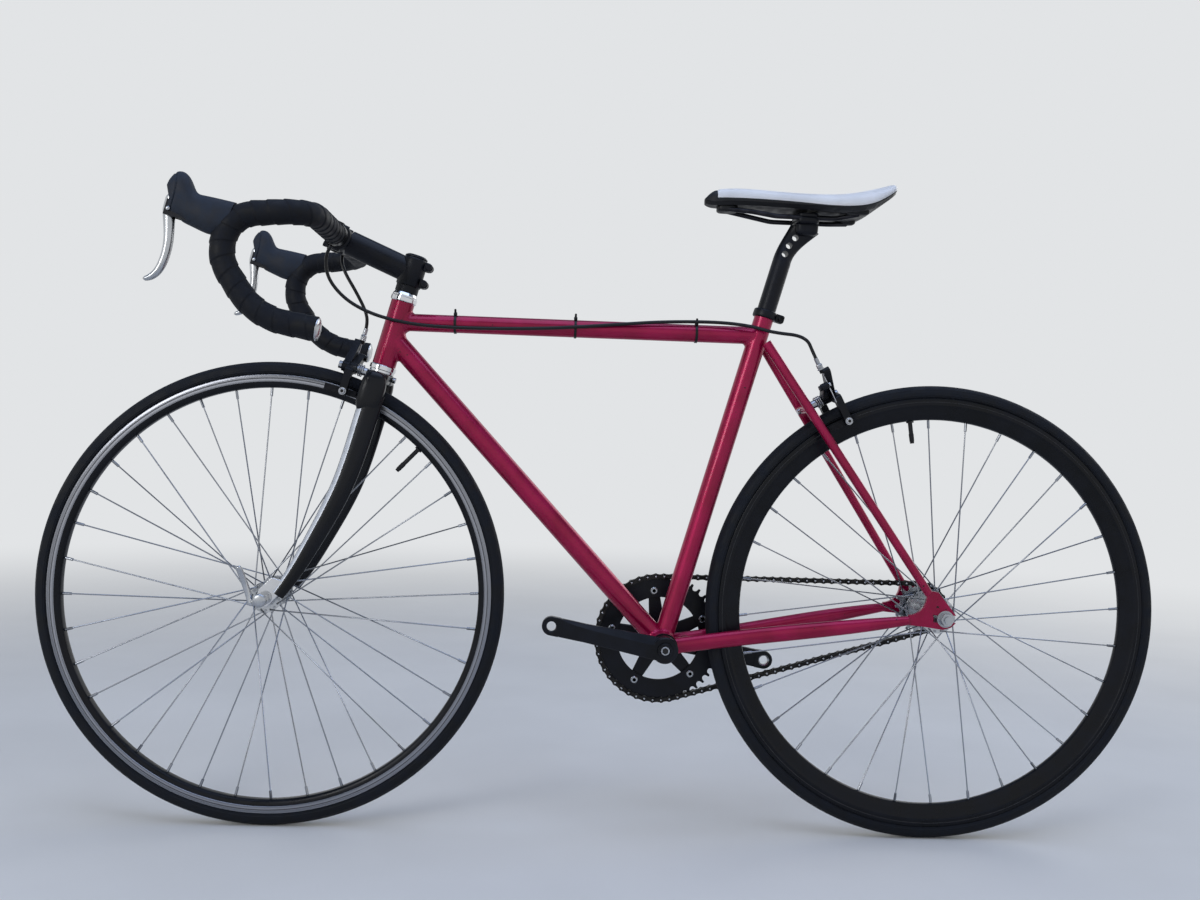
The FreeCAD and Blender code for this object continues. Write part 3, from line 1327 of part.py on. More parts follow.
# Stem: clamps the steerer with two bolts at the back and the bar with a four-bolt faceplate.
stem_middle = (stem_foot + stem_top) / 2
clamp_place = V(-mm.stem_reach, 0, stem_middle + mm.stem_rise)
STEM_LOW = STEER.multiply(Placement(V(0, 0, stem_foot), Rotation()))
stem_column = cylinder("stem_column", "stem_clamp_radius", "stem_height", STEM_LOW)
stem_lug = box("stem_lug", ("stem_bolt_set + stem_lug_half / 2", "2 * stem_lug_half", "stem_height"),
               V(0, -mm.stem_lug_half, 0), STEM_LOW)
stem_slot = box("stem_slot", ("stem_bolt_set + stem_lug_half", "face_split", "stem_height"),
                V(0, -mm.face_split / 2, 0), STEM_LOW)
beam_start = V(0, 0, stem_middle)
beam_way = clamp_place - beam_start
stem_beam = formed("stem_beam", lofted([
    oval(beam_start, beam_way, RIGHT, mm.stem_half_wide, mm.stem_half_high),
    oval(clamp_place - V(beam_way).normalize() * mm.bar_clamp_radius, beam_way, RIGHT, mm.stem_half_wide,
         mm.stem_half_high)]), STEER)
BAR_CLAMP = STEER.multiply(Placement(clamp_place - RIGHT * mm.stem_face_half, ACROSS))
face_ring = cylinder("face_ring", "stem_face_radius", "2 * stem_face_half", BAR_CLAMP)
bar_hole = cylinder("bar_hole", "bar_clamp_radius + seat_gap", "2 * stem_face_half", BAR_CLAMP)
beam_turn = math.degrees(math.atan2(beam_way.z, -beam_way.x))
FACE = STEER.multiply(Placement(clamp_place, Rotation(RIGHT, beam_turn)))
face_front = box("face_front", ("2 * stem_face_radius", "4 * stem_face_half", "4 * stem_face_radius"),
                 V(-2 * mm.stem_face_radius, -2 * mm.stem_face_half, -2 * mm.stem_face_radius), FACE)
stem_inner = cylinder("stem_inner", "steerer_radius + seat_gap", "3 * stem_height",
                      STEER.multiply(Placement(V(0, 0, stem_foot - mm.stem_height), Rotation())))
bolt_bores, bolts = [], []


def bolt(label, frame, length):
    """A cap screw along its frame's Z, its head first."""
    shank = cylinder(label + "_shank", "bolt_radius", length, frame)
    head = cylinder(label + "_head", "bolt_head_radius", "bolt_head_length", frame)
    hole = cylinder(label + "_hole", "bolt_radius + seat_gap", length, frame)
    recess = cylinder(label + "_recess", "bolt_head_radius + seat_gap", "bolt_head_length", frame)
    return fused(label, shank, head), [hole, recess]


stem_bolt_shares = (0.2, 0.8)
for k, share in enumerate(stem_bolt_shares):
    frame = STEM_LOW.multiply(Placement(V(mm.stem_bolt_set, -mm.stem_lug_half - mm.bolt_head_length,
                                          share * mm.stem_height), ACROSS))
    screw, bores = bolt("stem_bolt_%d" % k, frame, "2 * stem_lug_half + bolt_head_length")
    bolts.append(screw)
    bolt_bores += bores
face_bores = []
for k, (side, high) in enumerate([(-1, -1), (-1, 1), (1, -1), (1, 1)]):
    frame = FACE.multiply(Placement(V(-mm.stem_face_radius / 2 - mm.bolt_head_length,
                                      side * mm.face_bolt_set,
                                      high * (mm.bar_clamp_radius + mm.bolt_radius + mm.cup_edge)),
                                    Rotation(RIGHT, 90)))
    screw, bores = bolt("face_bolt_%d" % k, frame, "stem_face_radius + bolt_head_length")
    bolts.append(screw)
    face_bores += bores
face_split = box("face_split_gap", ("face_split", "4 * stem_face_half", "4 * stem_face_radius"),
                 V(-mm.face_split / 2, -2 * mm.stem_face_half, -2 * mm.stem_face_radius), FACE)
cut("stem", fused("stem_blank", stem_column, stem_lug, stem_beam, face_ring), stem_inner, stem_slot,
    bar_hole, face_front,
    face_split, *bolt_bores, *face_bores)
face_lugs = []
for side in LEFT_AND_RIGHT:
    face_lugs.append(box("face_lug_%d" % side,
                         ("stem_face_radius", "2 * (stem_face_half - face_bolt_set)",
                          "2 * stem_face_radius + 2 * cup_edge"),
                         V(-mm.stem_face_radius / 2,
                           side * mm.face_bolt_set - (mm.stem_face_half - mm.face_bolt_set),
                           -mm.stem_face_radius - mm.cup_edge), FACE))
face_back = box("face_back", ("2 * stem_face_radius", "4 * stem_face_half", "4 * stem_face_radius"),
                V(mm.face_split / 2, -2 * mm.stem_face_half, -2 * mm.stem_face_radius), FACE)
cut("stem_faceplate", fused("faceplate_blank", face_ring, *face_lugs), face_back, bar_hole, *face_bores)
together("stem_bolts", *bolts)

# Handlebar: one bent tube with a thicker middle, wrapped in tape and closed by plugs.
bar_shares = [(-1.0, -0.24), (-0.95, -0.62), (-0.28, -1.0), (0.54, -0.95)]


def bar_points(side, start):
    """Corners of one half of the bar, from a start along the middle to its open end."""
    points = [clamp_place + RIGHT * (side * start), clamp_place + RIGHT * (side * mm.bar_half_width)]
    for ahead, down in bar_shares:
        points.append(clamp_place + V(ahead * mm.bar_reach, side * mm.bar_half_width, down * mm.bar_drop))
    return points


bar_radii = [mm.bar_corner_radius, mm.bar_hook_radius, mm.bar_drop_radius, mm.bar_tail_radius]
bar_halves, tape_halves, tape_cores = [], [], []
for side in LEFT_AND_RIGHT:
    path = rounded_path(bar_points(side, 0), bar_radii)
    bar_halves.append(swept(path, mm.bar_radius).cut(swept(path, mm.bar_radius - mm.bar_wall)))
    wrapped = rounded_path(bar_points(side, mm.tape_start), bar_radii)
    tape_cores.append(swept(wrapped, mm.tape_radius))
    tape_halves.append(tape_cores[-1].cut(swept(wrapped, mm.bar_radius + mm.seat_gap)))
bulge = Part.makeCylinder(mm.bar_clamp_radius, 2 * mm.bar_clamp_half,
                          clamp_place - RIGHT * mm.bar_clamp_half, RIGHT)
bulge = bulge.cut(Part.makeCylinder(mm.bar_radius - mm.bar_wall, 2 * mm.bar_clamp_half,
                                    clamp_place - RIGHT * mm.bar_clamp_half, RIGHT))
formed("handlebar", bar_halves[0].multiFuse([bar_halves[1], bulge]), STEER)
formed("bar_tape", Part.makeCompound(tape_halves), STEER)
plugs = []
for side in LEFT_AND_RIGHT:
    before, end = bar_points(side, 0)[-2:]
    out = (end - before).normalize()
    frame = STEER.multiply(Placement(end, Rotation(UP, out)))
    plugs.append(turned("plug_%d" % side, [
        ("0", "-plug_shank"), ("bar_radius - bar_wall - seat_gap", "-plug_shank"),
        ("bar_radius - bar_wall - seat_gap", "0"),
        ("plug_radius", "0"), ("plug_radius", "plug_thick / 2"), ("plug_radius * 0.7", "plug_thick"),
        ("0", "plug_thick")], frame))
together("bar_end_plugs", *plugs)

# Brake levers: a bracket on the bend of the bar, a rubber hood over it and a blade on a pin.
hood_shares = [(-0.06, -0.40, 0.27, 0.42), (0.17, -0.49, 0.25, 0.48), (0.45, -0.46, 0.21, 0.47),
               (0.64, -0.41, 0.38, 0.46),
               (0.83, -0.42, 0.51, 0.43), (0.96, -0.30, 0.40, 0.30)]
lever_shares = [(-0.09, 0.17), (-0.04, 0.19), (0.06, 0.12), (0.07, -0.12), (0.14, -0.38), (0.16, -0.64),
                (0.12, -0.82), (0.00, -0.93),
                (-0.03, -0.91), (0.04, -0.72), (0.03, -0.42), (-0.05, -0.18), (-0.10, 0.0)]
hood_corner = clamp_place + V(bar_shares[0][0] * mm.bar_reach, 0, bar_shares[0][1] * mm.bar_drop)
pivot_local = hood_corner + V(-mm.lever_pivot_ahead, 0, -mm.lever_pivot_below)
hoods, brackets = [], []
bracket_length = mm.lever_pivot_ahead + 2 * mm.lever_pin_radius
for side, name, core in zip(LEFT_AND_RIGHT, ("left", "right"), tape_cores):
    corner = hood_corner + RIGHT * (side * mm.bar_half_width)
    sections = []
    for ahead, low, high, wide in hood_shares:
        middle = corner + V(-ahead * mm.hood_length, 0, (low + high) / 2 * mm.hood_height)
        sections.append(oval(middle, -ALONG, RIGHT, wide * mm.hood_width,
                             (high - low) / 2 * mm.hood_height))
    hood_blank = lofted(sections)
    low = corner + V(-bracket_length, -mm.bracket_half, -mm.lever_pivot_below - mm.bracket_height_half)
    bracket_block = Part.makeBox(bracket_length, 2 * mm.bracket_half,
                                 2 * mm.bracket_height_half + mm.bracket_height_half / 2, low)
    slot_half = mm.lever_width / 2 + mm.lever_slot_gap
    slot_low = corner + V(-mm.hood_length * 2, -slot_half, -mm.lever_pivot_below - mm.lever_length)
    slot_long = 2 * mm.hood_length - mm.lever_pivot_ahead + mm.lever_slot_back
    slot_block = Part.makeBox(slot_long, 2 * slot_half,
                              mm.lever_length + mm.lever_pivot_below + mm.bracket_height_half / 2, slot_low)
    bracket_shape = bracket_block.cut(core).cut(slot_block)
    pin_place = pivot_local + RIGHT * (side * mm.bar_half_width - mm.bracket_half)
    pin = Part.makeCylinder(mm.lever_pin_radius, 2 * mm.bracket_half, pin_place, RIGHT)
    pin_hole = Part.makeCylinder(mm.lever_pin_radius + mm.seat_gap, 2 * mm.bracket_half, pin_place, RIGHT)
    brackets.append(formed("bracket_" + name, Part.makeCompound([bracket_shape.cut(pin_hole), pin]), STEER))
    hoods.append(formed("hood_" + name, hood_blank.cut(core).cut(bracket_block).cut(slot_block), STEER))
    blade_turn = STEER_TURN.multiply(ACROSS)
    blade_low = STEER.multVec(pivot_local + RIGHT * (side * mm.bar_half_width - mm.lever_width / 2))
    blade = new_body(name + "_brake_lever", Placement(blade_low, blade_turn))
    padded(blade, "outline", lambda sketch: draw_outline(sketch, [
        ("%g * lever_length" % x, "%g * lever_length" % -z) for x, z in lever_shares]), "0", "lever_width")
    bored(blade, "pin_hole", lambda sketch: draw_circle(sketch, "0", "0", "lever_pin_radius + running_gap"))
together("lever_hoods", *hoods)
together("lever_brackets", *brackets)

# Brake calipers: two arms on one bolt, each with a pad beside the rim; the cable pulls them together.


def limb(points, half, start, thick):
    """A flat arm of constant width through points in its own plane, round at each point."""
    pieces = []
    for a, b in zip(points, points[1:]):
        along = (b - a).normalize()
        across = V(-along.y, along.x, 0) * half
        edges = [Part.LineSegment(a + across, b + across).toShape(),
                 Part.Arc(b + across, b + along * half, b - across).toShape(),
                 Part.LineSegment(b - across, a - across).toShape(),
                 Part.Arc(a - across, a - along * half, a + across).toShape()]
        pieces.append(Part.Face(Part.Wire(edges)).extrude(UP * thick).translate(UP * start))
    return pieces[0].multiFuse(pieces[1:])


def caliper(names, frame, axle_point):
    """Two arms; the first has its pad on the frame's +X side and the cable clamp on its -X side."""
    reach = (frame.Base - axle_point).Length - mm.rim_edge_radius + mm.rim_track / 2
    for name, side, layer in ((names[0], 1, 0), (names[1], -1, 1)):
        start = layer * (mm.arm_thick + mm.arm_gap)
        raised = mm.cable_clamp_up if layer == 0 else mm.cable_stop_up
        elbow = V(side * mm.arm_spread, -mm.arm_half, 0)
        foot = V(side * (mm.rim_half + mm.pad_gap + mm.pad_thick + mm.arm_half), -reach, 0)
        shape = limb([V(-mm.cable_side, raised, 0), V(0, 0, 0), elbow, foot], mm.arm_half, start,
                     mm.arm_thick)
        boss = Part.makeCylinder(mm.arm_boss_radius, mm.arm_thick, UP * start)
        bolt_hole = Part.makeCylinder(mm.caliper_bolt_radius + mm.running_gap, mm.arm_thick, UP * start)
        shape = shape.fuse(boss).cut(bolt_hole)
        pad_low = V(min(side * (mm.rim_half + mm.pad_gap),
                        side * (mm.rim_half + mm.pad_gap + mm.pad_thick)),
                    -reach - mm.pad_height / 2, cable_depth - mm.pad_length / 2)
        pieces = [Part.makeBox(mm.pad_thick, mm.pad_height, mm.pad_length, pad_low)]
        cable = V(-mm.cable_side, raised, cable_depth)
        if layer == 0:
            post = V(cable.x, raised, mm.arm_thick)
            fitting = Part.makeCylinder(mm.bolt_head_radius, mm.clamp_screw_length, post, -UP)
        else:
            fitting = Part.makeCylinder(mm.adjuster_radius, mm.adjuster_length, cable, V(0, 1, 0))
        bore = Part.makeCylinder(mm.wire_bore, 4 * mm.adjuster_length,
                                 cable - V(0, 2 * mm.adjuster_length, 0), V(0, 1, 0))
        shape = shape.fuse(fitting).cut(bore)
        formed(name, Part.makeCompound([shape] + pieces), frame)


caliper(("front_brake_left_arm", "front_brake_right_arm"), FRONT_CALIPER, front_axle)
caliper(("rear_brake_right_arm", "rear_brake_left_arm"), REAR_CALIPER, rear_axle)


def caliper_bolt(label, frame, to_caliper, seat):
    """The bolt through the crown or the bridge: its nut, a sleeve before the arms and a nut after them."""
    length = to_caliper + 2 * mm.arm_thick + mm.arm_gap
    shank = cylinder(label + "_shank", "caliper_bolt_radius", "%.9f + bolt_head_length" % length, frame)
    back = cylinder(label + "_back", "bolt_head_radius", "bolt_head_length", frame)
    front = cylinder(label + "_front", "bolt_head_radius + cup_edge", "bolt_head_length",
                     frame.multiply(Placement(V(0, 0, length + mm.clear_gap), Rotation())))
    sleeve = cylinder(label + "_sleeve", "caliper_sleeve_radius", "%.9f - clear_gap" % (to_caliper - seat),
                      frame.multiply(Placement(V(0, 0, seat), Rotation())))
    return fused(label, shank, back, front, sleeve)


caliper_bolt("front_brake_bolt", FRONT_BOLT, front_bolt_length, 2 * mm.crown_half + mm.bolt_head_length)
caliper_bolt("rear_brake_bolt", BRIDGE_BOLT, rear_bolt_length,
             2 * mm.brake_bridge_radius + mm.bolt_head_length)

# Brake cables in their housings. The front one stays with the fork; the rear one is tied to the top tube.
stop_top = mm.cable_stop_up + mm.adjuster_length + mm.clear_gap
front_stop = STEER.inverse().multVec(FRONT_CALIPER.multVec(V(-mm.cable_side, stop_top, cable_depth)))
rear_stop = REAR_CALIPER.multVec(V(-mm.cable_side, stop_top, cable_depth))
rear_up = REAR_CALIPER.Rotation.multVec(V(0, 1, 0))
bar_under = clamp_place - UP * (mm.tape_radius + mm.housing_radius)
front_route = [bar_under + V(0, 46, 0), bar_under + V(3, 39, -10), bar_under + V(16, 35, -26),
               bar_under + V(36, 33, -44),
               front_stop + V(-6, -1, 32), front_stop + V(0, 0, 14), front_stop]


def bare_wire(frame):
    """The inner wire from the housing's end through the adjuster to the clamp and a little past it."""
    tail = V(-mm.cable_side, mm.cable_clamp_up - mm.wire_tail, cable_depth)
    return Part.makeCylinder(mm.wire_radius, stop_top - tail.y, frame.multVec(tail),
                             frame.Rotation.multVec(V(0, 1, 0)))


cord("front_brake_housing", front_route, mm.housing_radius,
     bare_wire(STEER.inverse().multiply(FRONT_CALIPER)), STEER)
rear_start = STEER.multVec(bar_under)
rear_route = [rear_start + V(2, -46, 0), rear_start + V(-6, -40, -8), V(-413, -37, 801), V(-404, -36, 780),
              V(-382, -33, 758),
              V(-352, -28, 743), V(-318, -23, 734), V(-276, -19, 728.5), V(-222, -17, 727.5),
              V(-166, -17, 728.5), V(-108, -16.6, 731), V(-52, -16.4, 735.5), V(6, -15.2, 741.5),
              V(62, -11.7, 747.5),
              V(120, -9, 750.5), V(164, -12, 750), V(200, -19, 745.5), V(228, -27, 737),
              rear_stop + rear_up * 38 + V(-1, 3, 6),
              rear_stop + rear_up * 16, rear_stop]
cord("rear_brake_housing", rear_route, mm.housing_radius, bare_wire(REAR_CALIPER))
tie_shares = (0.16, 0.49, 0.825)
ties = []
for k, share in enumerate(tie_shares):
    middle = top_start + (top_end - top_start) * share
    frame = Placement(middle - ALONG * mm.tie_width / 2, Rotation(UP, ALONG))
    ring = cylinder("tie_ring_%d" % k, "top_tube_radius + seat_gap + tie_thick", "tie_width", frame)
    hole = cylinder("tie_hole_%d" % k, "top_tube_radius + seat_gap", "tie_width", frame)
    ties.append(cut("tie_%d" % k, ring, hole, doc.getObject("rear_brake_housing")))
together("cable_ties", *ties)

# Seatpost: a tube whose drilled head leans back to carry the saddle rails.
post_bottom = mm.seat_tube_length - mm.post_insert
post_neck = mm.seat_tube_length + mm.post_shown
post_top = post_neck + mm.post_head_height
POST_LOW = SEAT.multiply(Placement(V(0, 0, post_bottom), Rotation()))
post_blank = cylinder("post_blank", "post_radius", "post_insert + post_shown", POST_LOW)
post_bore = cylinder("post_bore", "post_radius - post_wall", "post_insert + post_shown - post_wall",
                     POST_LOW)
head_shares = [(0.0, 0.0, 1.0, 1.0), (0.35, 0.12, 1.05, 0.72), (0.7, 0.55, 1.3, 0.56),
               (1.0, 1.0, 1.6, 0.75)]
head_sections = []
for up, back, long, wide in head_shares:
    middle = V(back * mm.post_setback, 0, post_neck + up * mm.post_head_height)
    head_sections.append(oval(middle, UP, RIGHT, wide * mm.post_radius, long * mm.post_radius))
post_head = formed("post_head", lofted(head_sections), SEAT)
hole_shares = [(0.22, -0.02), (0.46, 0.12), (0.70, 0.42)]
post_holes = []
for k, (up, back) in enumerate(hole_shares):
    place = V(back * mm.post_setback, -2 * mm.post_radius, post_neck + up * mm.post_head_height)
    post_holes.append(cylinder("post_hole_%d" % k, "post_hole_radius", "4 * post_radius",
                               SEAT.multiply(Placement(place, ACROSS))))
cut("seatpost", fused("post_whole", post_blank, post_head), post_bore, *post_holes)

# Rail clamp: a lower cradle on the post and a cap over the rails, held by one bolt.
head_place = SEAT.multVec(V(mm.post_setback, 0, post_top))
rail_level = head_place.z + mm.rail_above_post
CLAMP_LOW = Placement(V(head_place.x, 0, rail_level - mm.clamp_thick), Rotation())
cradle_low = V(head_place.x - mm.clamp_length / 2, -mm.clamp_half, rail_level - mm.clamp_thick)
cradle = box("rail_cradle", ("clamp_length", "2 * clamp_half", "clamp_thick"), cradle_low)
cap = box("rail_cap", ("clamp_length", "2 * clamp_half", "clamp_cap_thick"),
          V(cradle_low.x, -mm.clamp_half, rail_level + mm.seat_gap))
clamp_bolt_length = "clamp_thick + seat_gap + clamp_cap_thick"
clamp_bolt = cylinder("clamp_bolt", "bolt_radius", clamp_bolt_length, CLAMP_LOW)
clamp_bolt_hole = cylinder("clamp_bolt_hole", "bolt_radius + seat_gap", clamp_bolt_length, CLAMP_LOW)

# Saddle: two rails, a stiff shell and a padded cover with a long nose and a swept-up tail.
saddle_shares = [
    # along, half width, edge, top (edge and top as shares of the crown above the saddle height)
    (0.0, 0.10, 0.14, 0.22), (0.03, 0.19, 0.06, 0.46), (0.09, 0.26, 0.05, 0.64), (0.22, 0.32, 0.06, 0.68),
    (0.40, 0.42, 0.0, 0.60), (0.58, 0.64, -0.12, 0.52), (0.74, 0.90, -0.22, 0.54), (0.86, 1.0, -0.06, 0.72),
    (0.95, 0.90, 0.38, 0.92), (0.985, 0.70, 0.62, 0.97), (1.0, 0.46, 0.76, 0.95)]
side_share = 0.80
shoulder_share = 0.74
bulge_share = 1.01
saddle_nose = head_place.x - mm.saddle_ahead
saddle_level = rail_level + mm.saddle_above_rail


def saddle_section(along, half, edge, top):
    """A D-shaped section: drawn-in sides, a crowned top and a flat base."""
    x = saddle_nose + along * mm.saddle_length
    half_width = half * mm.saddle_half_width
    low = saddle_level + edge * mm.saddle_crown
    high = saddle_level + top * mm.saddle_crown
    shoulder = low + shoulder_share * (high - low)
    waist = low + (shoulder - low) / 2
    inner = side_share * half_width
    bulge = bulge_share * half_width
    p = [V(x, -half_width, low), V(x, -bulge, waist), V(x, -inner, shoulder), V(x, 0, high),
         V(x, inner, shoulder), V(x, bulge, waist), V(x, half_width, low)]
    return Part.Wire([Part.Arc(p[0], p[1], p[2]).toShape(), Part.Arc(p[2], p[3], p[4]).toShape(),
                      Part.Arc(p[4], p[5], p[6]).toShape(), Part.LineSegment(p[6], p[0]).toShape()])


def shell_section(along, half, edge, top):
    """The shell under the cover: a shallow tray of one thickness."""
    x = saddle_nose + along * mm.saddle_length
    half_width = half * mm.saddle_half_width
    high = saddle_level + edge * mm.saddle_crown - mm.seat_gap
    low = high - mm.saddle_shell_thick
    narrow = side_share * half_width
    p = [V(x, -half_width, high), V(x, -narrow, low), V(x, narrow, low), V(x, half_width, high)]
    return Part.makePolygon(p + [p[0]])


cover_form = lofted([saddle_section(*shares) for shares in saddle_shares])
formed("saddle_cover", cover_form)
cover_seat = formed("saddle_cover_seat", cover_form, Placement(V(0, 0, -mm.clear_gap), Rotation()))
shell_blank = formed("saddle_shell_blank", lofted([shell_section(*shares) for shares in saddle_shares]))


def underside(x):
    """Height of the shell's lower face at a place along the saddle."""
    share = (x - saddle_nose) / mm.saddle_length
    for a, b in zip(saddle_shares, saddle_shares[1:]):
        if a[0] <= share <= b[0]:
            edge = a[2] + (b[2] - a[2]) * (share - a[0]) / (b[0] - a[0])
            return saddle_level + edge * mm.saddle_crown - mm.seat_gap - mm.saddle_shell_thick
    return saddle_level


rail_shares = [(0.10, 0.35), (0.25, 0.85), (0.37, 1.0), (0.69, 1.0), (0.80, 1.75)]
rail_radii = [mm.rail_bend_radius, mm.rail_bend_radius, mm.rail_tail_radius]
rails, rail_tools = [], []
for side in LEFT_AND_RIGHT:
    points = []
    for k, (along, out) in enumerate(rail_shares):
        x = saddle_nose + along * mm.saddle_length
        ends = k in (0, len(rail_shares) - 1)
        z = underside(x) - mm.rail_radius - mm.clear_gap if ends else rail_level
        if k == 1:
            z = (underside(x) - mm.rail_radius + rail_level) / 2
        points.append(V(x, side * out * mm.rail_spread, z))
    path = rounded_path(points, rail_radii)
    rails.append(swept(path, mm.rail_radius))
    rail_tools.append(swept(path, mm.rail_radius + mm.seat_gap))
formed("saddle_rails", Part.makeCompound(rails))
rail_grooves = formed("rail_grooves", Part.makeCompound(rail_tools))
cut("saddle_shell", shell_blank, cover_seat, rail_grooves)
cradle_piece = cut("cradle_piece", cradle, rail_grooves, post_head, clamp_bolt_hole)
cap_piece = cut("cap_piece", cap, rail_grooves, clamp_bolt_hole)
together("seatpost_clamp", cradle_piece, cap_piece, clamp_bolt)

NODES = [
    "head_tube", "top_tube", "down_tube", "seat_tube", "bottom_bracket_shell", "chainstays", "seatstays",
    "dropouts",
    "headset_cups", "bottom_bracket_cups", "seat_collar", "rear_axle", "rear_brake_housing", "cable_ties",
    "chain",
    "rear_brake_bolt", "seatpost", "seatpost_clamp", "saddle_rails", "saddle_shell", "saddle_cover",
    "fork_crown",
    "fork_blades", "fork_tips", "headset_races", "headset_spacer", "stem", "stem_faceplate", "stem_bolts",
    "handlebar",
    "bar_tape", "bar_end_plugs", "lever_hoods", "lever_brackets", "front_brake_housing", "front_axle",
    "front_brake_bolt", "front_hub", "front_spokes", "front_rim", "front_tyre", "front_inner_tube",
    "rear_hub",
    "rear_spokes", "rear_rim", "rear_tyre", "rear_inner_tube", "rear_cog", "crank_spindle", "left_crank",
    "right_crank", "chainring", "chainring_bolts", "left_brake_lever", "right_brake_lever",
    "front_brake_left_arm",
    "front_brake_right_arm", "rear_brake_left_arm", "rear_brake_right_arm", "qr_lever"]

doc.recompute()
faults = [item.Label for item in doc.Objects if "Invalid" in item.State or "Error" in item.State]
pieces = [doc.getObjectsByLabel(label)[0] for label in NODES]
for piece in pieces:
    if piece.Shape.isNull() or not piece.Shape.isValid() or not piece.Shape.Solids:
        faults.append(piece.Label)
if faults:
    raise SystemExit("not built: " + ", ".join(faults))

print("wheelbase", round(wheelbase, 2), "chain reach", round(chain_reach, 2))
for words, place in (("head foot", head_foot), ("bracket", bracket), ("rear axle", rear_axle),
                     ("front axle", front_axle),
                     ("left lever pivot", STEER.multVec(pivot_local)),
                     ("front caliper", FRONT_CALIPER.Base),
                     ("rear caliper", REAR_CALIPER.Base), ("cam", cam_middle),
                     ("bar clamp", STEER.multVec(clamp_place))):
    print(words, [round(part, 3) for part in place])
os.makedirs("parts", exist_ok=True)
for piece in pieces:
    piece.Shape.exportStep("parts/%s.step" % piece.Label)
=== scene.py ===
import json
import bmesh
import bpy
import numpy as np
from mathutils import Matrix

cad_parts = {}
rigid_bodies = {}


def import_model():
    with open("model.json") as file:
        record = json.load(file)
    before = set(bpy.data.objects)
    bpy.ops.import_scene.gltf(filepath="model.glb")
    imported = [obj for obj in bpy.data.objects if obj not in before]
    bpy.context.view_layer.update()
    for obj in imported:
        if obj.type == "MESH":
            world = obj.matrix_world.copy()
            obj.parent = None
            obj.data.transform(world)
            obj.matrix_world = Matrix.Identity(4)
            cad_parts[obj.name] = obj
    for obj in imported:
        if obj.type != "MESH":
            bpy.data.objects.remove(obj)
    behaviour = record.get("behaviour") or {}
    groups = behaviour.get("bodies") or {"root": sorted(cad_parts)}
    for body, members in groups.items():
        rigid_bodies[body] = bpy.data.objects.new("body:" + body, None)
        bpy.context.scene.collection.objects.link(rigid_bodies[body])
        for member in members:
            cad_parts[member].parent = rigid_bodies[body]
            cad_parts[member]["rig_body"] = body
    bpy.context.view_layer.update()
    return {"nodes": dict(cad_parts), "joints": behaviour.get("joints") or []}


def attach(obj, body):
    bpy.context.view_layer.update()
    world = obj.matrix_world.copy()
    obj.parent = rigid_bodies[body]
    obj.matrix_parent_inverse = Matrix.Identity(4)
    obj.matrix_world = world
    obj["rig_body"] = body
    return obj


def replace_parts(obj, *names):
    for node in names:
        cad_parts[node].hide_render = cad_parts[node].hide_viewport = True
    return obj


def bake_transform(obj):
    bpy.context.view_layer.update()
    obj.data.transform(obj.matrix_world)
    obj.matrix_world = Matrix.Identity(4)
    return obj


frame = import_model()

# Main tubes: drawn steel, mitred where they meet, welded and sprayed a metallic crimson under clear lacquer.
# The lacquer gives sharp reflections over a colour that wanders a little, with small chips by the rear axle.


def linear(colour):
    """sRGB hex to linear: ((c + 0.055) / 1.055) to the power 2.4 above 0.04045, and c / 12.92 below."""
    c = np.array([int(colour[i:i + 2], 16) for i in (1, 3, 5)]) / 255
    return (*np.where(c > 0.04045, ((c + 0.055) / 1.055) ** 2.4, c / 12.92), 1.0)


def add(tree, kind, sockets=None, **settings):
    """Adds one shader node; a socket takes a plain value, an output, or an earlier node for its first output."""
    node = tree.nodes.new("ShaderNode" + kind)
    for key, setting in settings.items():
        setattr(node, key, setting)
    for key, source in (sockets or {}).items():
        source = source.outputs[0] if isinstance(source, bpy.types.Node) else source
        if isinstance(source, bpy.types.NodeSocket):
            tree.links.new(source, node.inputs[key])
        else:
            node.inputs[key].default_value = source
    return node


def surface(name, patch_mm, colours, rough, metal=0.0, grain_mm=None, stretch=(1, 1, 1), along="Object", **sockets):
    """A material whose constants stand on the shader's own sockets. In patches of one size the colour wanders between
    the last two of three tones, and so does the roughness where it has three values. grain_mm gives the size and depth
    of a fine relief."""
    material = bpy.data.materials.new(name)
    material.use_nodes = True
    tree = material.node_tree
    shader = tree.nodes["Principled BSDF"]
    tones = [linear(colour) for colour in colours.split()]
    gloss = rough if isinstance(rough, tuple) else (rough,)
    plain = {"Base Color": tones[0], "Roughness": gloss[0], "Metallic": metal}
    for key, value in {**plain, **{key.replace("_", " "): value for key, value in sockets.items()}}.items():
        shader.inputs[key].default_value = value
    place = add(tree, "Mapping", {"Vector": add(tree, "TexCoord").outputs[along], "Scale": stretch})
    patch = add(tree, "TexNoise", {"Vector": place, "Scale": 1000 / patch_mm, "Detail": 3.0})
    tone = add(tree, "ValToRGB", {"Fac": patch})
    for element, position, colour in zip(tone.color_ramp.elements, (0.36, 0.64), tones[1:]):
        element.position, element.color = position, colour
    tree.links.new(tone.outputs["Color"], shader.inputs["Base Color"])
    if len(gloss) > 1:
        shine = add(tree, "MapRange", {"Value": patch, "From Min": 0.36, "From Max": 0.64, "To Min": gloss[1],
                                       "To Max": gloss[2]})
        tree.links.new(shine.outputs["Result"], shader.inputs["Roughness"])
    if grain_mm:
        grain = add(tree, "TexNoise", {"Vector": place, "Scale": 1000 / grain_mm[0], "Detail": 2.0})
        relief = add(tree, "Bump", {"Height": grain, "Distance": grain_mm[1] / 1000, "Strength": 0.6})
        tree.links.new(relief.outputs["Normal"], shader.inputs["Normal"])
    return material


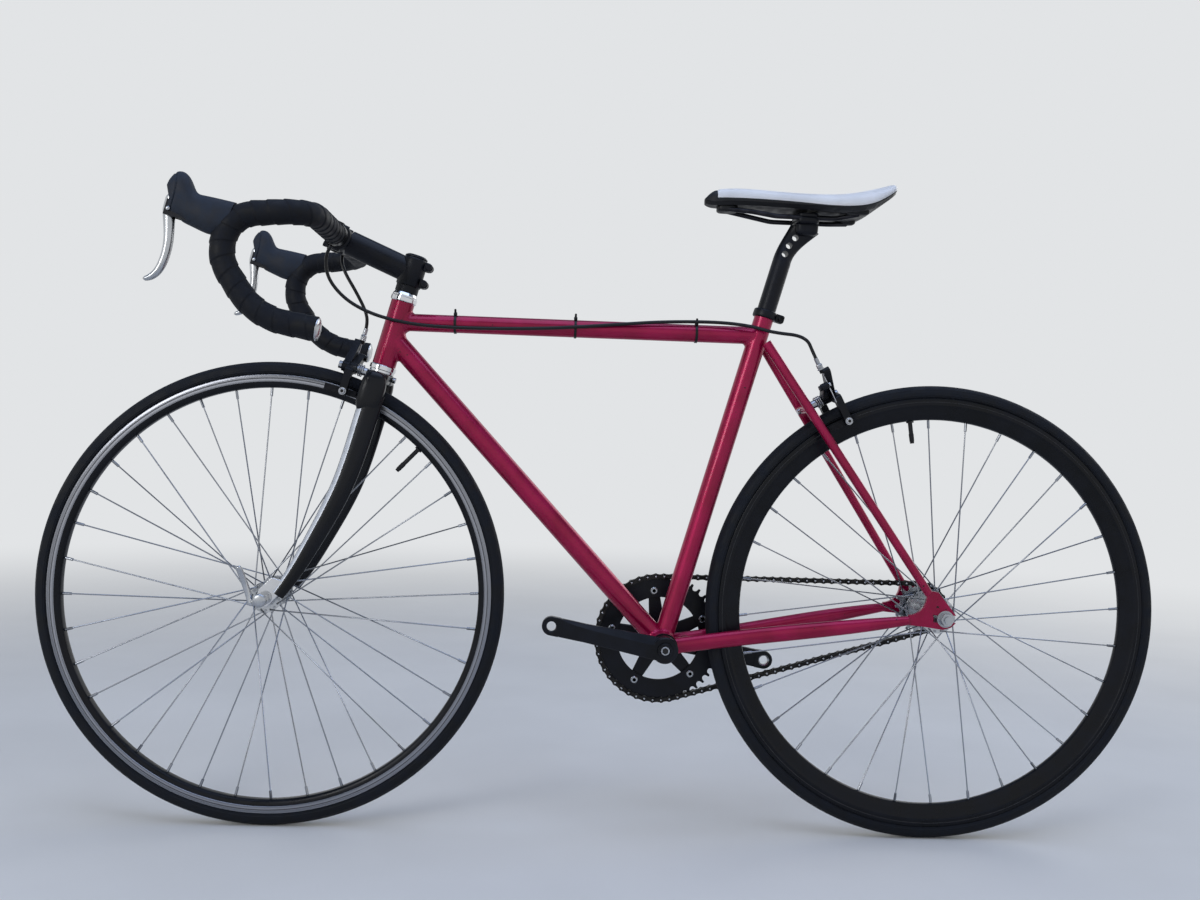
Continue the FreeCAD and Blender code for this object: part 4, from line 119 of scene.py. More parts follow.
def shown(name, mesh, angle):
    """Puts a mesh in the scene, smooth but for edges sharper than an angle."""
    mesh.polygons.foreach_set("use_smooth", np.ones(len(mesh.polygons), bool))
    mesh.set_sharp_from_angle(angle=np.radians(angle))
    piece = bpy.data.objects.new(name, mesh)
    bpy.context.collection.objects.link(piece)
    return piece


def skin(name, grids, materials, body, angle=35.0, indices=None):
    """Quads between neighbours on each grid (rows, columns, xyz in mm), doubles merged and normals outwards.
    UV: u runs with the columns and v with the rows, each from 0 to 1. indices gives each quad its material."""
    points, faces, uvs, start = [], [], [], 0
    for grid in grids:
        rows, columns = grid.shape[:2]
        index = start + np.arange(rows * columns).reshape(rows, columns)
        quads = np.stack([index[:-1, :-1], index[:-1, 1:], index[1:, 1:], index[1:, :-1]], -1)
        u, v = np.meshgrid(np.linspace(0, 1, columns), np.linspace(0, 1, rows))
        points.append(grid.reshape(-1, 3))
        faces.append(quads.reshape(-1, 4))
        uvs.append(np.stack([u, v], -1).reshape(-1, 2))
        start += rows * columns
    points, faces, uvs = np.concatenate(points), np.concatenate(faces), np.concatenate(uvs)
    mesh = bpy.data.meshes.new(name)
    mesh.from_pydata((points / 1000).tolist(), [], faces.tolist())
    mesh.uv_layers.new(name="UVMap").data.foreach_set("uv", uvs[faces].astype(np.float32).ravel())
    for material in np.atleast_1d(materials):
        mesh.materials.append(material)
    if indices is not None:
        mesh.polygons.foreach_set("material_index", np.concatenate([i.ravel() for i in indices]).astype(np.int32))
    net = bmesh.new()
    net.from_mesh(mesh)
    bmesh.ops.remove_doubles(net, verts=net.verts, dist=2e-6)
    bmesh.ops.recalc_face_normals(net, faces=net.faces)
    net.to_mesh(mesh)
    net.free()
    piece = shown(name, mesh, angle)
    if body:
        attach(piece, body)
    return piece


def unit(vectors):
    return vectors / np.linalg.norm(vectors, axis=-1, keepdims=True)


def round_it(along, sides):
    """Unit directions square to a line, once round it."""
    side = unit(np.cross(along, (0.31, 0.93, 0.17)))
    turn = np.linspace(0, 2 * np.pi, sides + 1)
    return np.outer(np.cos(turn), side) + np.outer(np.sin(turn), np.cross(along, side))


def meeting(points, along, wall):
    """How far along a line from each point it leaves a round wall (a start, an axis, a radius): the greater root t of
    |flat(point + t along)| = radius, where flat drops the part along the wall's axis."""
    start, axis, radius = wall
    flat = points - start
    flat = flat - np.outer(flat @ axis, axis)
    lean = along - (along @ axis) * axis
    b, c = flat @ lean / (lean @ lean), ((flat ** 2).sum(1) - radius ** 2) / (lean @ lean)
    return (-b + np.sqrt(np.maximum(b * b - c, 0)))[:, None]


def mitred(start, end, radius, walls, thick=0.6, sides=72):
    """A tube: each line of its outer and inner skin runs from start to end, or from wall to wall where it
    meets them."""
    along = unit(end - start)
    ends = []
    for r in (radius, radius - thick):
        first, last = start + r * round_it(along, sides), end + r * round_it(along, sides)
        first = first + meeting(first, along, walls[0]) * along if walls[0] else first
        last = last - meeting(last, -along, walls[1]) * along if walls[1] else last
        ends.append((first, last))
    return np.stack([ends[0][0], ends[0][1], ends[1][1], ends[1][0], ends[0][0]], 1)


crimson = surface("crimson_metallic_lacquer", 45, "#98063E #8E0438 #A20A46", (0.34, 0.30, 0.38), 0.5,
                  Coat_Weight=0.35, Coat_Roughness=0.06, Specular_IOR_Level=0.2)
chips = crimson.node_tree
place = add(chips, "TexCoord").outputs["Object"]
specks = add(chips, "TexNoise", {"Vector": place, "Scale": 1000 / 6, "Detail": 2.0})
behind = add(chips, "SeparateXYZ", {"Vector": place}).outputs["X"]
worn = add(chips, "MapRange", {"Value": behind, "From Min": 0.33, "From Max": 0.47, "To Min": 0.0, "To Max": 0.075})
bare = add(chips, "Math", {0: specks, 1: worn}, operation="ADD")
spot = add(chips, "MapRange", {"Value": bare, "From Min": 0.745, "From Max": 0.76})
shader = chips.nodes["Principled BSDF"]
painted = shader.inputs["Base Color"].links[0].from_socket
mixed = add(chips, "Mix", {"Factor": spot, 6: painted, 7: linear("#2B1216")}, data_type="RGBA")
chips.links.new(mixed.outputs[2], shader.inputs["Base Color"])
HEAD_FOOT = np.array([-332.505, 0, 670.62])
STEER_UP = np.array(frame["joints"][0]["axis"])
STEER_BACK = np.array([STEER_UP[2], 0, -STEER_UP[0]])
BRACKET = np.array([84.52, 0, 278.0])
SEAT_UP = np.array([0.268920, 0, 0.963163])
ACROSS = np.array([0, 1.0, 0])
HEAD_LENGTH, SEAT_LENGTH, SHELL_HALF, MITRE_SINK = 95, 511.5, 34, 0.2
HEAD_RADIUS, TOP_RADIUS, DOWN_RADIUS, SEAT_RADIUS, SHELL_RADIUS = 17.0, 12.7, 15.0, 14.3, 20.0
sides_of_tubes = [(HEAD_FOOT, STEER_UP, HEAD_RADIUS), (BRACKET, SEAT_UP, SEAT_RADIUS), (BRACKET, ACROSS, SHELL_RADIUS)]
head_side, seat_side, shell_side = sides_of_tubes
head_wall, seat_wall, shell_wall = [(at, axis, radius - MITRE_SINK) for at, axis, radius in sides_of_tubes]
down_start = HEAD_FOOT + 42 * STEER_UP
top_left, top_right = np.array([-315.52, 0, 734.0]), np.array([211.84, 0, 734.0])
shell_ends = BRACKET - SHELL_HALF * ACROSS, BRACKET + SHELL_HALF * ACROSS
tubes = {"head_tube": (HEAD_FOOT, HEAD_FOOT + HEAD_LENGTH * STEER_UP, HEAD_RADIUS, (None, None)),
         "top_tube": (top_left, top_right, TOP_RADIUS, (head_wall, seat_wall)),
         "down_tube": (down_start, BRACKET, DOWN_RADIUS, (head_wall, shell_wall)),
         "seat_tube": (BRACKET, BRACKET + SEAT_LENGTH * SEAT_UP, SEAT_RADIUS, (shell_wall, None)),
         "bottom_bracket_shell": (*shell_ends, SHELL_RADIUS, (None, None))}
for node, shape in tubes.items():
    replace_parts(skin(node + "_drawn", [mitred(*shape)], crimson, "frame"), node)

# Welds: a ring of filler metal in the corner where one tube's mitred end meets the wall of the next.
# It is laid by hand and painted over, so it shows as a soft step with faint ripples.


def weld(start, along, radius, wall, leg=4.5, ripples=34):
    """Ring round a tube's end: a curve runs from the tube, past the corner where it leaves the wall, to the wall."""
    wall_start, wall_along, wall_radius = wall
    turn = np.linspace(0, 2 * np.pi, 145)
    out = round_it(along, 144)
    corner = start + radius * out
    corner = corner + meeting(corner, along, wall) * along
    ripple = (leg * (1 + 0.07 * np.sin(ripples * turn)))[:, None]
    on_tube = corner + ripple * along
    beyond = corner + ripple * out - wall_start
    axial = np.outer(beyond @ wall_along, wall_along)
    on_wall = wall_start + axial + wall_radius * unit(beyond - axial)
    middle = 0.55 * corner + 0.225 * (on_tube + on_wall)
    k = np.linspace(0, 1, 8)[None, :, None]
    bow = (1 - k) ** 2 * on_tube[:, None] + 2 * k * (1 - k) * middle[:, None] + k ** 2 * on_wall[:, None]
    sunk = (corner - 1.5 * out - 1.5 * along)[:, None]
    return np.concatenate([bow, sunk, bow[:, :1]], 1)


down_along = unit(BRACKET - down_start)
welds = [weld(top_left, np.array([1.0, 0, 0]), TOP_RADIUS, head_side),
         weld(top_right, np.array([-1.0, 0, 0]), TOP_RADIUS, seat_side),
         weld(down_start, down_along, DOWN_RADIUS, head_side), weld(BRACKET, -down_along, DOWN_RADIUS, shell_side),
         weld(BRACKET, SEAT_UP, SEAT_RADIUS, shell_side)]
skin("frame_welds", welds, crimson, "frame")

# Stays and dropouts: slim tapered tubes brazed to thick plate ends that are open to the back for the axle.
# They are painted with the main tubes.


def dressed(node, *materials, edge_mm=0.4, angle=32.0, choose=None, flat_merge=True):
    """A copy of a node's mesh: loose triangles joined, flat faces merged, edges rounded by a bevel.
    choose gives each face its material from the face centres in mm."""
    source = frame["nodes"][node]
    mesh = source.data.copy()
    net = bmesh.new()
    net.from_mesh(mesh)
    bmesh.ops.remove_doubles(net, verts=net.verts, dist=2e-6)
    if flat_merge:
        bmesh.ops.dissolve_limit(net, angle_limit=np.radians(0.6), verts=net.verts, edges=net.edges)
    net.to_mesh(mesh)
    net.free()
    mesh.materials.clear()
    for material in materials:
        mesh.materials.append(material)
    if choose:
        centres = np.empty(3 * len(mesh.polygons))
        mesh.polygons.foreach_get("center", centres)
        mesh.polygons.foreach_set("material_index", choose(1000 * centres.reshape(-1, 3)).astype(np.int32))
    else:
        mesh.polygons.foreach_set("material_index", np.zeros(len(mesh.polygons), np.int32))
    piece = shown(node + "_dressed", mesh, angle)
    if edge_mm:
        rounding = piece.modifiers.new("rounding", "BEVEL")
        rounding.width = edge_mm / 1000
        rounding.segments = 3
        rounding.limit_method = "ANGLE"
        rounding.angle_limit = np.radians(angle)
        rounding.harden_normals = True
    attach(piece, source["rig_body"])
    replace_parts(piece, node)
    return piece


dressed("chainstays", crimson, edge_mm=0, flat_merge=False)
dressed("seatstays", crimson, edge_mm=0, flat_merge=False)
dressed("dropouts", crimson, edge_mm=1.0)

# Headset: turned and plated steel cups pressed into the head tube, with a race below and a cone above.
# Chrome plate shows the whole room, with only the faintest haze from handling.
chrome = surface("chrome_plated_steel", 60, "#D9DADC #D2D3D6 #DEDFE1", (0.09, 0.06, 0.12), 1.0)
dressed("headset_cups", chrome)
dressed("headset_races", chrome)
# The blue tint in this black is painted sky light.
black_alloy = surface("black_anodised_aluminium", 25, "#0A0C13 #080A10 #0E111A", (0.36, 0.32, 0.44), 0.15,
                      grain_mm=(0.5, 0.02), Specular_IOR_Level=0.24)
dressed("headset_spacer", black_alloy)

# Bottom bracket and crank set: forged and black-anodised arms on a steel spindle, with a five-arm spider,
# a black chainring and bright ring bolts. Each arm's outer face falls away to one edge in a broad slope,
# and its eye is tapped for a pedal.
bright_steel = surface("bright_steel", 40, "#A9ACB1 #9C9FA5 #B8BBBF", (0.24, 0.18, 0.30), 1.0)
# Near-black paint for the inside of the hex sockets in bright bolts: painted shade.
socket_shade = surface("painted_shade_in_sockets", 2, "#08080A #060607 #0C0C0E", 0.6)
dressed("bottom_bracket_cups", black_alloy)
dressed("crank_spindle", bright_steel)
dressed("chainring", black_alloy, edge_mm=0.35)
dressed("chainring_bolts", bright_steel, edge_mm=0.7)


def turned(profile, start, along, sides=64, flutes=0, depth=0.0):
    """A profile of (radius, distance) turned round an axis: start + d along + r (1 + depth cos(flutes a)) out(a)."""
    profile, along = np.array(profile, float), unit(np.array(along, float))
    swell = 1 + depth * np.cos(flutes * np.linspace(0, 2 * np.pi, sides + 1))
    out = round_it(along, sides) * swell[:, None]
    return np.array(start, float) + profile[None, :, 1:] * along + profile[None, :, :1] * out[:, None]


def forged(place, along, across, outward, run, half, thick, shoulder, fall):
    """A bar whose section goes round its half width and thickness in nine corners, carried along a run. Its outer face
    stops a shoulder short of the upper edge, and that edge lies a fall lower than the face."""
    run, half, shoulder, fall = (np.array(a, float) for a in np.broadcast_arrays(run, half, shoulder, fall))
    edge, level = 1.2, np.zeros_like(run)
    w = np.stack([-half + edge, -half, -half, -half + edge, half - shoulder, half - 0.7, half, half, half - edge], 1)
    o = np.stack([level, level + edge, level + thick - edge, level + thick, level + thick, thick - fall + 0.5,
                  thick - fall - 0.8, level + edge, level], 1)
    ring = place + run[:, None, None] * along + w[..., None] * across + o[..., None] * outward
    ring = np.concatenate([ring, ring[:, :1]], 1)
    ends = [np.repeat(ring[[i], :-1].mean(1, keepdims=True), ring.shape[1], 1) for i in (0, -1)]
    return np.concatenate([ends[0], ring, ends[1]])


def socket_head(centre, outward, radius, height, hexagon, recess):
    """A bolt head: rings of radius r(turn) at heights along the axis; the socket's rings follow a hexagon,
    whose radius at an angle is its half width over the cosine of the angle from the nearest flat's middle."""
    outward = unit(np.array(outward, float))
    turn = np.linspace(0, 2 * np.pi, 49)
    six = hexagon / np.cos((turn + np.pi / 6) % (np.pi / 3) - np.pi / 6)
    plain = np.ones_like(turn)
    rings = np.stack([0 * plain, radius * plain, radius * plain, (radius - 0.6) * plain, six, six, 0 * plain], 1)
    rise = np.array([0, 0, height - 0.6, height, height, height - recess, height - recess])
    return np.array(centre) + rings[..., None] * round_it(outward, 48)[:, None] + rise[None, :, None] * outward


def plain(grid):
    """The first material for every quad of a grid."""
    return np.zeros((grid.shape[0] - 1, grid.shape[1] - 1))


CRANK_LENGTH, ARM_INNER, ARM_THICK, CRANK_LEAN = 165, 49.4, 10.4, 10.7
crank_turn = np.radians(CRANK_LEAN)
arm_run = np.linspace(4, 151, 60)
arm_half = np.interp(arm_run, (0, 115, 151), (16.5, 12.8, 13.0))
arm_shoulder = np.interp(arm_run, (0, 22, 70, 135, 150, 157), (9.0, 11.5, 9.5, 4.5, 1.6, 1.2))
arm_fall = np.interp(arm_run, (0, 22, 70, 135, 150, 157), (6.0, 6.5, 6.0, 4.0, 1.5, 1.2))
eye_turn = np.linspace(0, 2 * np.pi, 97)[:, None]
toward, sideways = np.cos(eye_turn), np.sin(eye_turn)
stretch = np.where(toward > 0, (np.abs(toward / 15.5) ** 8 + np.abs(sideways / 13.4) ** 8) ** (-1 / 8) - 13.4, 0)
eye_keys = np.array([(8.2, 0, ARM_INNER), (12.6, 0.9, ARM_INNER), (13.4, 1, 50.4), (13.4, 1, 59), (12.4, 1, 60),
                     (8.4, 0, 60), (7.2, 0, 59.2), (6.5, 0, 58.2), (6.5, 0, 51.0), (8.2, 0, ARM_INNER)])
eye_reach = eye_keys[:, 0] + eye_keys[:, 1] * stretch
boss = [(0, 39), (17.5, 39), (19, 40.5), (19, 58), (17, 60), (11.6, 60), (11.2, 59.9), (0, 59.9)]
cap_ring = [(0, 59.2), (10.6, 59.2), (10.6, 62), (10, 62.5), (7.6, 62.5), (7.2, 62), (7.2, 60.6), (0, 60.6)]
spider = np.radians(-CRANK_LEAN + 36 + 72 * np.arange(5))
tip = np.radians(np.linspace(0, 85, 10))
spider_run = np.concatenate([np.linspace(6, 72, 12), 73 + 8 * np.sin(tip)])
spider_half = np.concatenate([np.linspace(13, 8, 12), np.maximum(8 * np.cos(tip), 1.3)])
for side, node in ((-1, "left_crank"), (1, "right_crank")):
    outward = side * ACROSS
    along = side * np.array([np.cos(crank_turn), 0, -np.sin(crank_turn)])
    upper = -side * np.array([np.sin(crank_turn), 0, np.cos(crank_turn)])
    arm = forged(BRACKET + ARM_INNER * outward, along, upper, outward, arm_run, arm_half, ARM_THICK, arm_shoulder,
                 arm_fall)
    eye = (BRACKET + CRANK_LENGTH * along + eye_keys[:, 2:] * outward
           + eye_reach[..., None] * (sideways[..., None] * upper - toward[..., None] * along))
    grids = [arm, turned(boss, BRACKET, outward), turned(cap_ring, BRACKET, outward), eye]
    thread = np.repeat((np.arange(9) >= 6)[None], 96, 0)
    index = [plain(grid) for grid in grids[:3]] + [thread]
    if side > 0:
        for a in spider:
            out, wide = np.array([np.cos(a), 0, np.sin(a)]), np.array([-np.sin(a), 0, np.cos(a)])
            grids.append(forged(BRACKET + 44.5 * ACROSS, out, wide, ACROSS, spider_run, spider_half, 5.0, 1.2, 1.2))
            index.append(plain(grids[-1]))
    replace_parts(skin(node + "_forged", grids, [black_alloy, bright_steel], "crank", 18, index), node)
heads = [socket_head(BRACKET + (0, y, 0), (0, np.sign(y), 0), 6.6, 1.7, 4.0, 1.5) for y in (-60.6, 60.6)]
ring_places = BRACKET + 72 * np.stack([np.cos(spider), 0 * spider, np.sin(spider)], 1)
heads += [socket_head(place + (0, y, 0), (0, out, 0), 4.9, 0.9, 2.6, 0.8)
          for place in ring_places for y, out in ((51, 1), (40, -1))]
# The socket faces of each bolt head take the painted shade.
sunk = [np.repeat((np.arange(6) >= 4)[None], 48, 0)] * len(heads)
skin("crank_bolt_heads", heads, [bright_steel, socket_shade], "crank", indices=sunk)

# Chain: stamped steel plates and rollers, held by riveted pins, black with oil.
# The pin ends are rubbed bright.
LINKS, PITCH = 96, 12.7
AXLES = {"front": np.array([-482.48, 0, 335.0]), "rear": np.array([482.48, 0, 335.0])}
chain_steel = surface("oiled_chain_steel", 7, "#1D1C1C #121212 #2B2A29", (0.42, 0.32, 0.54), 0.7)
dressed("chain", chain_steel, edge_mm=0)


def on_chain(at, pitch=PITCH, ring_teeth=46, cog_teeth=18):
    """Points of the chain's line, counted from where the upper run leaves the ring: two straight runs of the same
    length, and arcs of the two pitch circles, whose radius is the pitch over twice the sine of pi over the teeth."""
    way = AXLES["rear"] - BRACKET
    reach, heading = np.linalg.norm(way), np.arctan2(way[2], way[0])
    ring, cog = (pitch / (2 * np.sin(np.pi / teeth)) for teeth in (ring_teeth, cog_teeth))
    lean = np.arcsin((ring - cog) / reach)
    straight, over_cog = reach * np.cos(lean), cog * (np.pi - 2 * lean)
    above, below = heading + np.pi / 2 - lean, heading - np.pi / 2 + lean
    parts = [at < straight, at < straight + over_cog, at < 2 * straight + over_cog]
    turn = np.select(parts, [above, above - (at - straight) / cog, below],
                     below - (at - 2 * straight - over_cog) / ring)
    rest = np.select(parts, [at, 0 * at, at - straight - over_cog], 0)[:, None]
    radius = np.select(parts, [ring, cog, cog], ring)[:, None]
    centre = np.where((parts[1] & ~parts[0] | parts[2] & ~parts[1])[:, None], AXLES["rear"], BRACKET)
    start = 2 * straight + over_cog + ring * (np.pi / 2 + lean)
    out = np.stack([np.cos(turn), 0 * turn, np.sin(turn)], 1)
    run = np.stack([np.sin(turn), 0 * turn, -np.cos(turn)], 1)
    return centre + radius * out + rest * run, start


first_pin = on_chain(np.zeros(1))[1]
pins = on_chain((first_pin + PITCH * np.arange(LINKS)) % (LINKS * PITCH))[0]
pin_end = [(0, 0.35), (1.1, 0.3), (1.55, 0.0), (1.55, -0.6)]
rivets = [turned(pin_end, pin + (0, y, 0), (0, out, 0), 10) for pin in pins for y, out in ((37.75, -1), (48.25, 1))]
skin("chain_pin_ends", rivets, bright_steel, "frame", angle=60)

# Fork: a forged crown with two rounded shoulders, raked oval blades and plated tips.
# Crown and blades are gloss black, with a blue cast that is painted sky light; a silver band runs down each side of a
# blade's front edge.
fork_black = surface("gloss_black_enamel", 60, "#06080E #05070C #080B13", (0.28, 0.24, 0.32), Coat_Weight=0.12,
                     Coat_Roughness=0.05, Specular_IOR_Level=0.2)
silver_line = surface("silver_line_paint", 20, "#C6CBD4 #BEC3CC #CED3DB", 0.34, 0.5, Coat_Weight=0.2,
                      Coat_Roughness=0.05)
dressed("fork_tips", chrome, edge_mm=1.0)


def smooth(keys, values, at):
    """Natural cubic spline: second slopes m solve h0 m0 + 2 (h0 + h1) m1 + h1 m2 = 6 (d1 - d0), and are 0
    at the ends."""
    keys, values, at = np.array(keys, float), np.array(values, float), np.array(at, float)
    step, n = np.diff(keys), len(keys)
    slope = np.diff(values, axis=0) / step.reshape(-1, *[1] * (values.ndim - 1))
    matrix, right = np.eye(n), np.zeros_like(values)
    row = np.arange(1, n - 1)
    matrix[row, row - 1], matrix[row, row], matrix[row, row + 1] = step[:-1], 2 * (step[:-1] + step[1:]), step[1:]
    right[1:-1] = 6 * np.diff(slope, axis=0)
    bend = np.linalg.solve(matrix, right)
    i = np.clip(np.searchsorted(keys, at, "right") - 1, 0, n - 2)
    wide = step[i]
    a, b = ((x[(...,) + (None,) * (values.ndim - 1)]) for x in ((keys[i + 1] - at) / wide, (at - keys[i]) / wide))
    wide = wide[(...,) + (None,) * (values.ndim - 1)]
    return a * values[i] + b * values[i + 1] + ((a ** 3 - a) * bend[i] + (b ** 3 - b) * bend[i + 1]) * wide ** 2 / 6


def steered(points):
    """From the steering's own axes (back, right, up from the foot of the head tube) to the bike's."""
    return HEAD_FOOT + points @ np.array([STEER_BACK, ACROSS, STEER_UP])


def rounded_block(centre, axes, sizes, power=0.4):
    """A superellipsoid: with c(a) the cosine and s(a) the sine, each kept in sign and raised to a power, the point is
    (X c(v) c(u), Y c(v) s(u), Z s(v)) along three axes."""
    u, v = np.meshgrid(np.linspace(-np.pi, np.pi, 49), np.linspace(-np.pi / 2, np.pi / 2, 25))
    cu, su, cv, sv = (np.sign(w) * np.abs(w) ** power for w in (np.cos(u), np.sin(u), np.cos(v), np.sin(v)))
    return np.array(centre, float) + np.stack([cv * cu, cv * su, sv], -1) * sizes @ np.array(axes, float)


upright = np.eye(3)
steerer = [(11.2, -26.5), (17.0, -26.5), (18.0, -25.5), (18.0, -13.0), (16.5, -11.6), (12.7, -11.6), (12.7, 161.6),
           (11.2, 161.6), (11.2, -26.5)]
crown = [rounded_block((0, y, -43.5), upright, (18.2, 11.4, 31.9), 0.7) for y in (-36, 36)]
crown += [rounded_block((0, 0, -19.2), upright, (16.8, 38, 7.5), 0.3), turned(steerer, (0, 0, 0), (0, 0, 1), 72)]
forged_crown = skin("fork_crown_forged", [steered(grid) for grid in crown], fork_black, "steering",
                    50)
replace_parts(forged_crown, "fork_crown")
blade_run, rake, shoulder_low = 319.5, 58.0, -43.5
blade_shares = np.array([(0, 0.055, 0, 0), (0.15, 0.05, 0.05, 0.02), (0.42, 0, 0.25, 0.18), (0.70, -0.28, 0.50, 0.55),
                         (0.88, -0.53, 0.75, 0.85), (0.965, -0.69, 0.92, 1.0)])
blades, stripes = [], []
for side in (-1, 1):
    down = np.linspace(0, 0.965, 90)
    ahead, out, thin = smooth(blade_shares[:, 0], blade_shares[:, 1:], down).T
    centre = np.stack([ahead * rake, side * (36 + out * 16.5), shoulder_low - down * blade_run], 1)
    along = unit(np.gradient(centre, axis=0))
    front = unit(np.cross(along, ACROSS))
    front = front * np.sign(-front[:, :1])
    turn = np.linspace(0, 2 * np.pi, 121)
    wide, long = 10.0 - 3.5 * thin, 17.0 - 7.5 * thin
    ring = (centre[:, None] + (wide[:, None] * np.sin(turn))[..., None] * ACROSS
            + (long[:, None] * np.cos(turn))[..., None] * front[:, None])
    ends = [ring[:1] * 0 + centre[:1, None], ring, ring[-1:] * 0 + centre[-1:, None]]
    blades.append(steered(np.concatenate(ends)))
    facing = np.cos((turn[:-1] + turn[1:]) / 2)
    band = (facing > 0.50) & (facing < 0.94)
    stripes.append(np.repeat(band[None], len(down) + 1, 0))
piece = skin("fork_blades_dressed", blades, [fork_black, silver_line], "steering", indices=stripes)
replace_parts(piece, "fork_blades")

# Wheels: turned aluminium hubs, drawn steel spokes with plated nipples, and extruded rims joined into hoops.
# The front rim's braking track is machined bright with a wear groove, the rest is black; the rear rim is all black.
silver_alloy = surface("polished_aluminium", 50, "#B9BBBE #AEB1B4 #C4C6C9", (0.22, 0.16, 0.28), 1.0)
spoke_steel = surface("drawn_spoke_steel", 300, "#9A9DA3 #8F9298 #A5A8AE", (0.24, 0.20, 0.28), 1.0)
nipple_brass = surface("plated_nipple_brass", 20, "#63666B #585B60 #707378", 0.34, 1.0)
rim_black = surface("black_anodised_rim", 35, "#090B11 #07090E #0C0F17", (0.30, 0.24, 0.36), 0.15,
                    grain_mm=(0.6, 0.02), Specular_IOR_Level=0.24)
rim_silver = surface("machined_brake_track", 900, "#8E9097 #818389 #9B9DA4", (0.32, 0.24, 0.40), 1.0,
                     stretch=(60, 1, 1), along="UV")
# The wear groove in the front rim's braking track is coloured dark.
groove_dark = surface("dark_wear_groove", 8, "#232326 #1B1B1E #2E2E31", 0.6)


def mirrored(half):
    """A half profile from the outer edge inwards, with its mirror image after it, closed on its first point."""
    whole = np.concatenate([half, half[::-1] * (1, -1)])
    return np.concatenate([whole, whole[:1]])


rim_flank = [(309.0, 0), (309.0, 7.2), (316.2, 8.4), (316.5, 8.9), (316.4, 9.6), (315.8, 10.0), (311.6, 10.0),
             (311.4, 9.7), (310.8, 9.7), (310.6, 10.0), (306.4, 10.0), (306.0, 9.6)]
rim_wells = {"front": [(305.2, 9.5), (302.0, 8.8), (299.4, 7.6), (298.0, 6.0), (297.5, 3.5), (297.5, 0)],
             "rear": [(302.0, 8.7), (294.0, 6.9), (288.0, 5.6), (285.6, 4.6), (284.5, 2.6), (284.5, 0)]}
for wheel, nipple_from in (("front", 291.5), ("rear", 278.5)):
    centre = AXLES[wheel]
    profile = mirrored(np.array(rim_flank + rim_wells[wheel]))
    middle = (profile[:-1] + profile[1:]) / 2
    groove = (np.abs(middle[:, 1]) > 9.6) & (np.abs(middle[:, 0] - 311.1) < 0.45)
    track = (middle[:, 0] > 306.1) & (np.abs(middle[:, 1]) > 9.3) & (wheel == "front")
    index = np.where(groove, 2, np.where(track, 1, 0))
    hoop = skin(wheel + "_rim_hoop", [turned(profile, centre, ACROSS, 240)], [rim_black, rim_silver, groove_dark],
                wheel + "_wheel", indices=[np.repeat(index[None], 240, 0)])
    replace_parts(hoop, wheel + "_rim")
    dressed(wheel + "_hub", silver_alloy, edge_mm=0.5)
    dressed(wheel + "_spokes", spoke_steel, nipple_brass, edge_mm=0, choose=lambda at: np.linalg.norm(
        (at - centre)[:, ::2], axis=1) > nipple_from)
dressed("front_axle", bright_steel, edge_mm=0.8)
dressed("rear_axle", bright_steel, edge_mm=0.6)
dressed("rear_cog", bright_steel, edge_mm=0.3)

# Quick release: a cast and polished lever, curved outwards, that turns a cam in a domed steel housing
# and so draws the skewer through the front axle tight.


def carried(line, wide, tall, reference, sides=28):
    """Rings square to a line, with one half size across the reference vector and one along it (each a number, or one
    per point, or one per point and angle). The reference never lies along the line, and both ends are closed."""
    along = unit(np.gradient(line, axis=0))
    across = unit(np.cross(along, reference))
    upward = np.cross(across, along)
    turn = np.linspace(0, 2 * np.pi, sides + 1)
    wide, tall = (np.reshape(r, (len(line), -1)) if np.ndim(r) else np.full((len(line), 1), r) for r in (wide, tall))
    ring = line[:, None] + ((wide * np.cos(turn))[..., None] * across[:, None]
                            + (tall * np.sin(turn))[..., None] * upward[:, None])
    caps = [np.repeat(line[i:i + 1, None], sides + 1, 1) for i in (0, len(line) - 1)]
    return np.concatenate([caps[0], ring, caps[1]])


def lengths(line):
    """How far along a line of points each one lies."""
    return np.concatenate([[0], np.cumsum(np.linalg.norm(np.diff(line, axis=0), axis=1))])


def swept(line, halves, reference, count, sides):
    """A smooth bar through a line's points; its half sizes change straight from point to point."""
    share = lengths(line)
    even = np.linspace(0, share[-1], count)
    wide, tall = (np.interp(even, share, half) for half in halves.T)
    return carried(smooth(share, line, even), wide, tall, reference, sides)


CAM = AXLES["front"] + (0, -63.5, 0)
RELEASE = np.array([(0, -1.0, 0), (-0.2924, 0, 0.9563), (-0.9563, 0, -0.2924)])
release_keys = np.array([(0, -0.085, 2.0, 2.0), (0, -0.06, 4.6, 3.8), (0, 0.0, 5.4, 4.5), (0.0, 0.15, 5.3, 4.5),
                         (0.02, 0.32, 4.9, 4.5), (0.065, 0.54, 4.2, 4.5), (0.135, 0.76, 3.6, 4.5),
                         (0.205, 0.94, 3.1, 4.5), (0.225, 0.985, 2.4, 3.4), (0.232, 1.0, 1.0, 1.5)])
release_length, release_out = 54, 14.0
line = CAM + release_out * RELEASE[2] + release_length * release_keys[:, :2] @ RELEASE[:2]
release = [swept(line, release_keys[:, 2:], RELEASE[2], 70, 32),
           turned([(0, -9.3), (4.4, -9.3), (4.4, 12.0), (0, 12.0)], CAM, RELEASE[2], 32)]
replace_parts(skin("release_lever", release, silver_alloy, "quick_release", angle=60), "qr_lever")
cap = [(9.3, -1.2), (9.4, -0.2), (8.8, 0.9), (7.2, 1.7), (4.5, 2.3), (0, 2.5)]
skin("cam_housing_cap", [turned(cap, CAM + (0, -8.4, 0), -ACROSS, 48)], bright_steel, "steering")
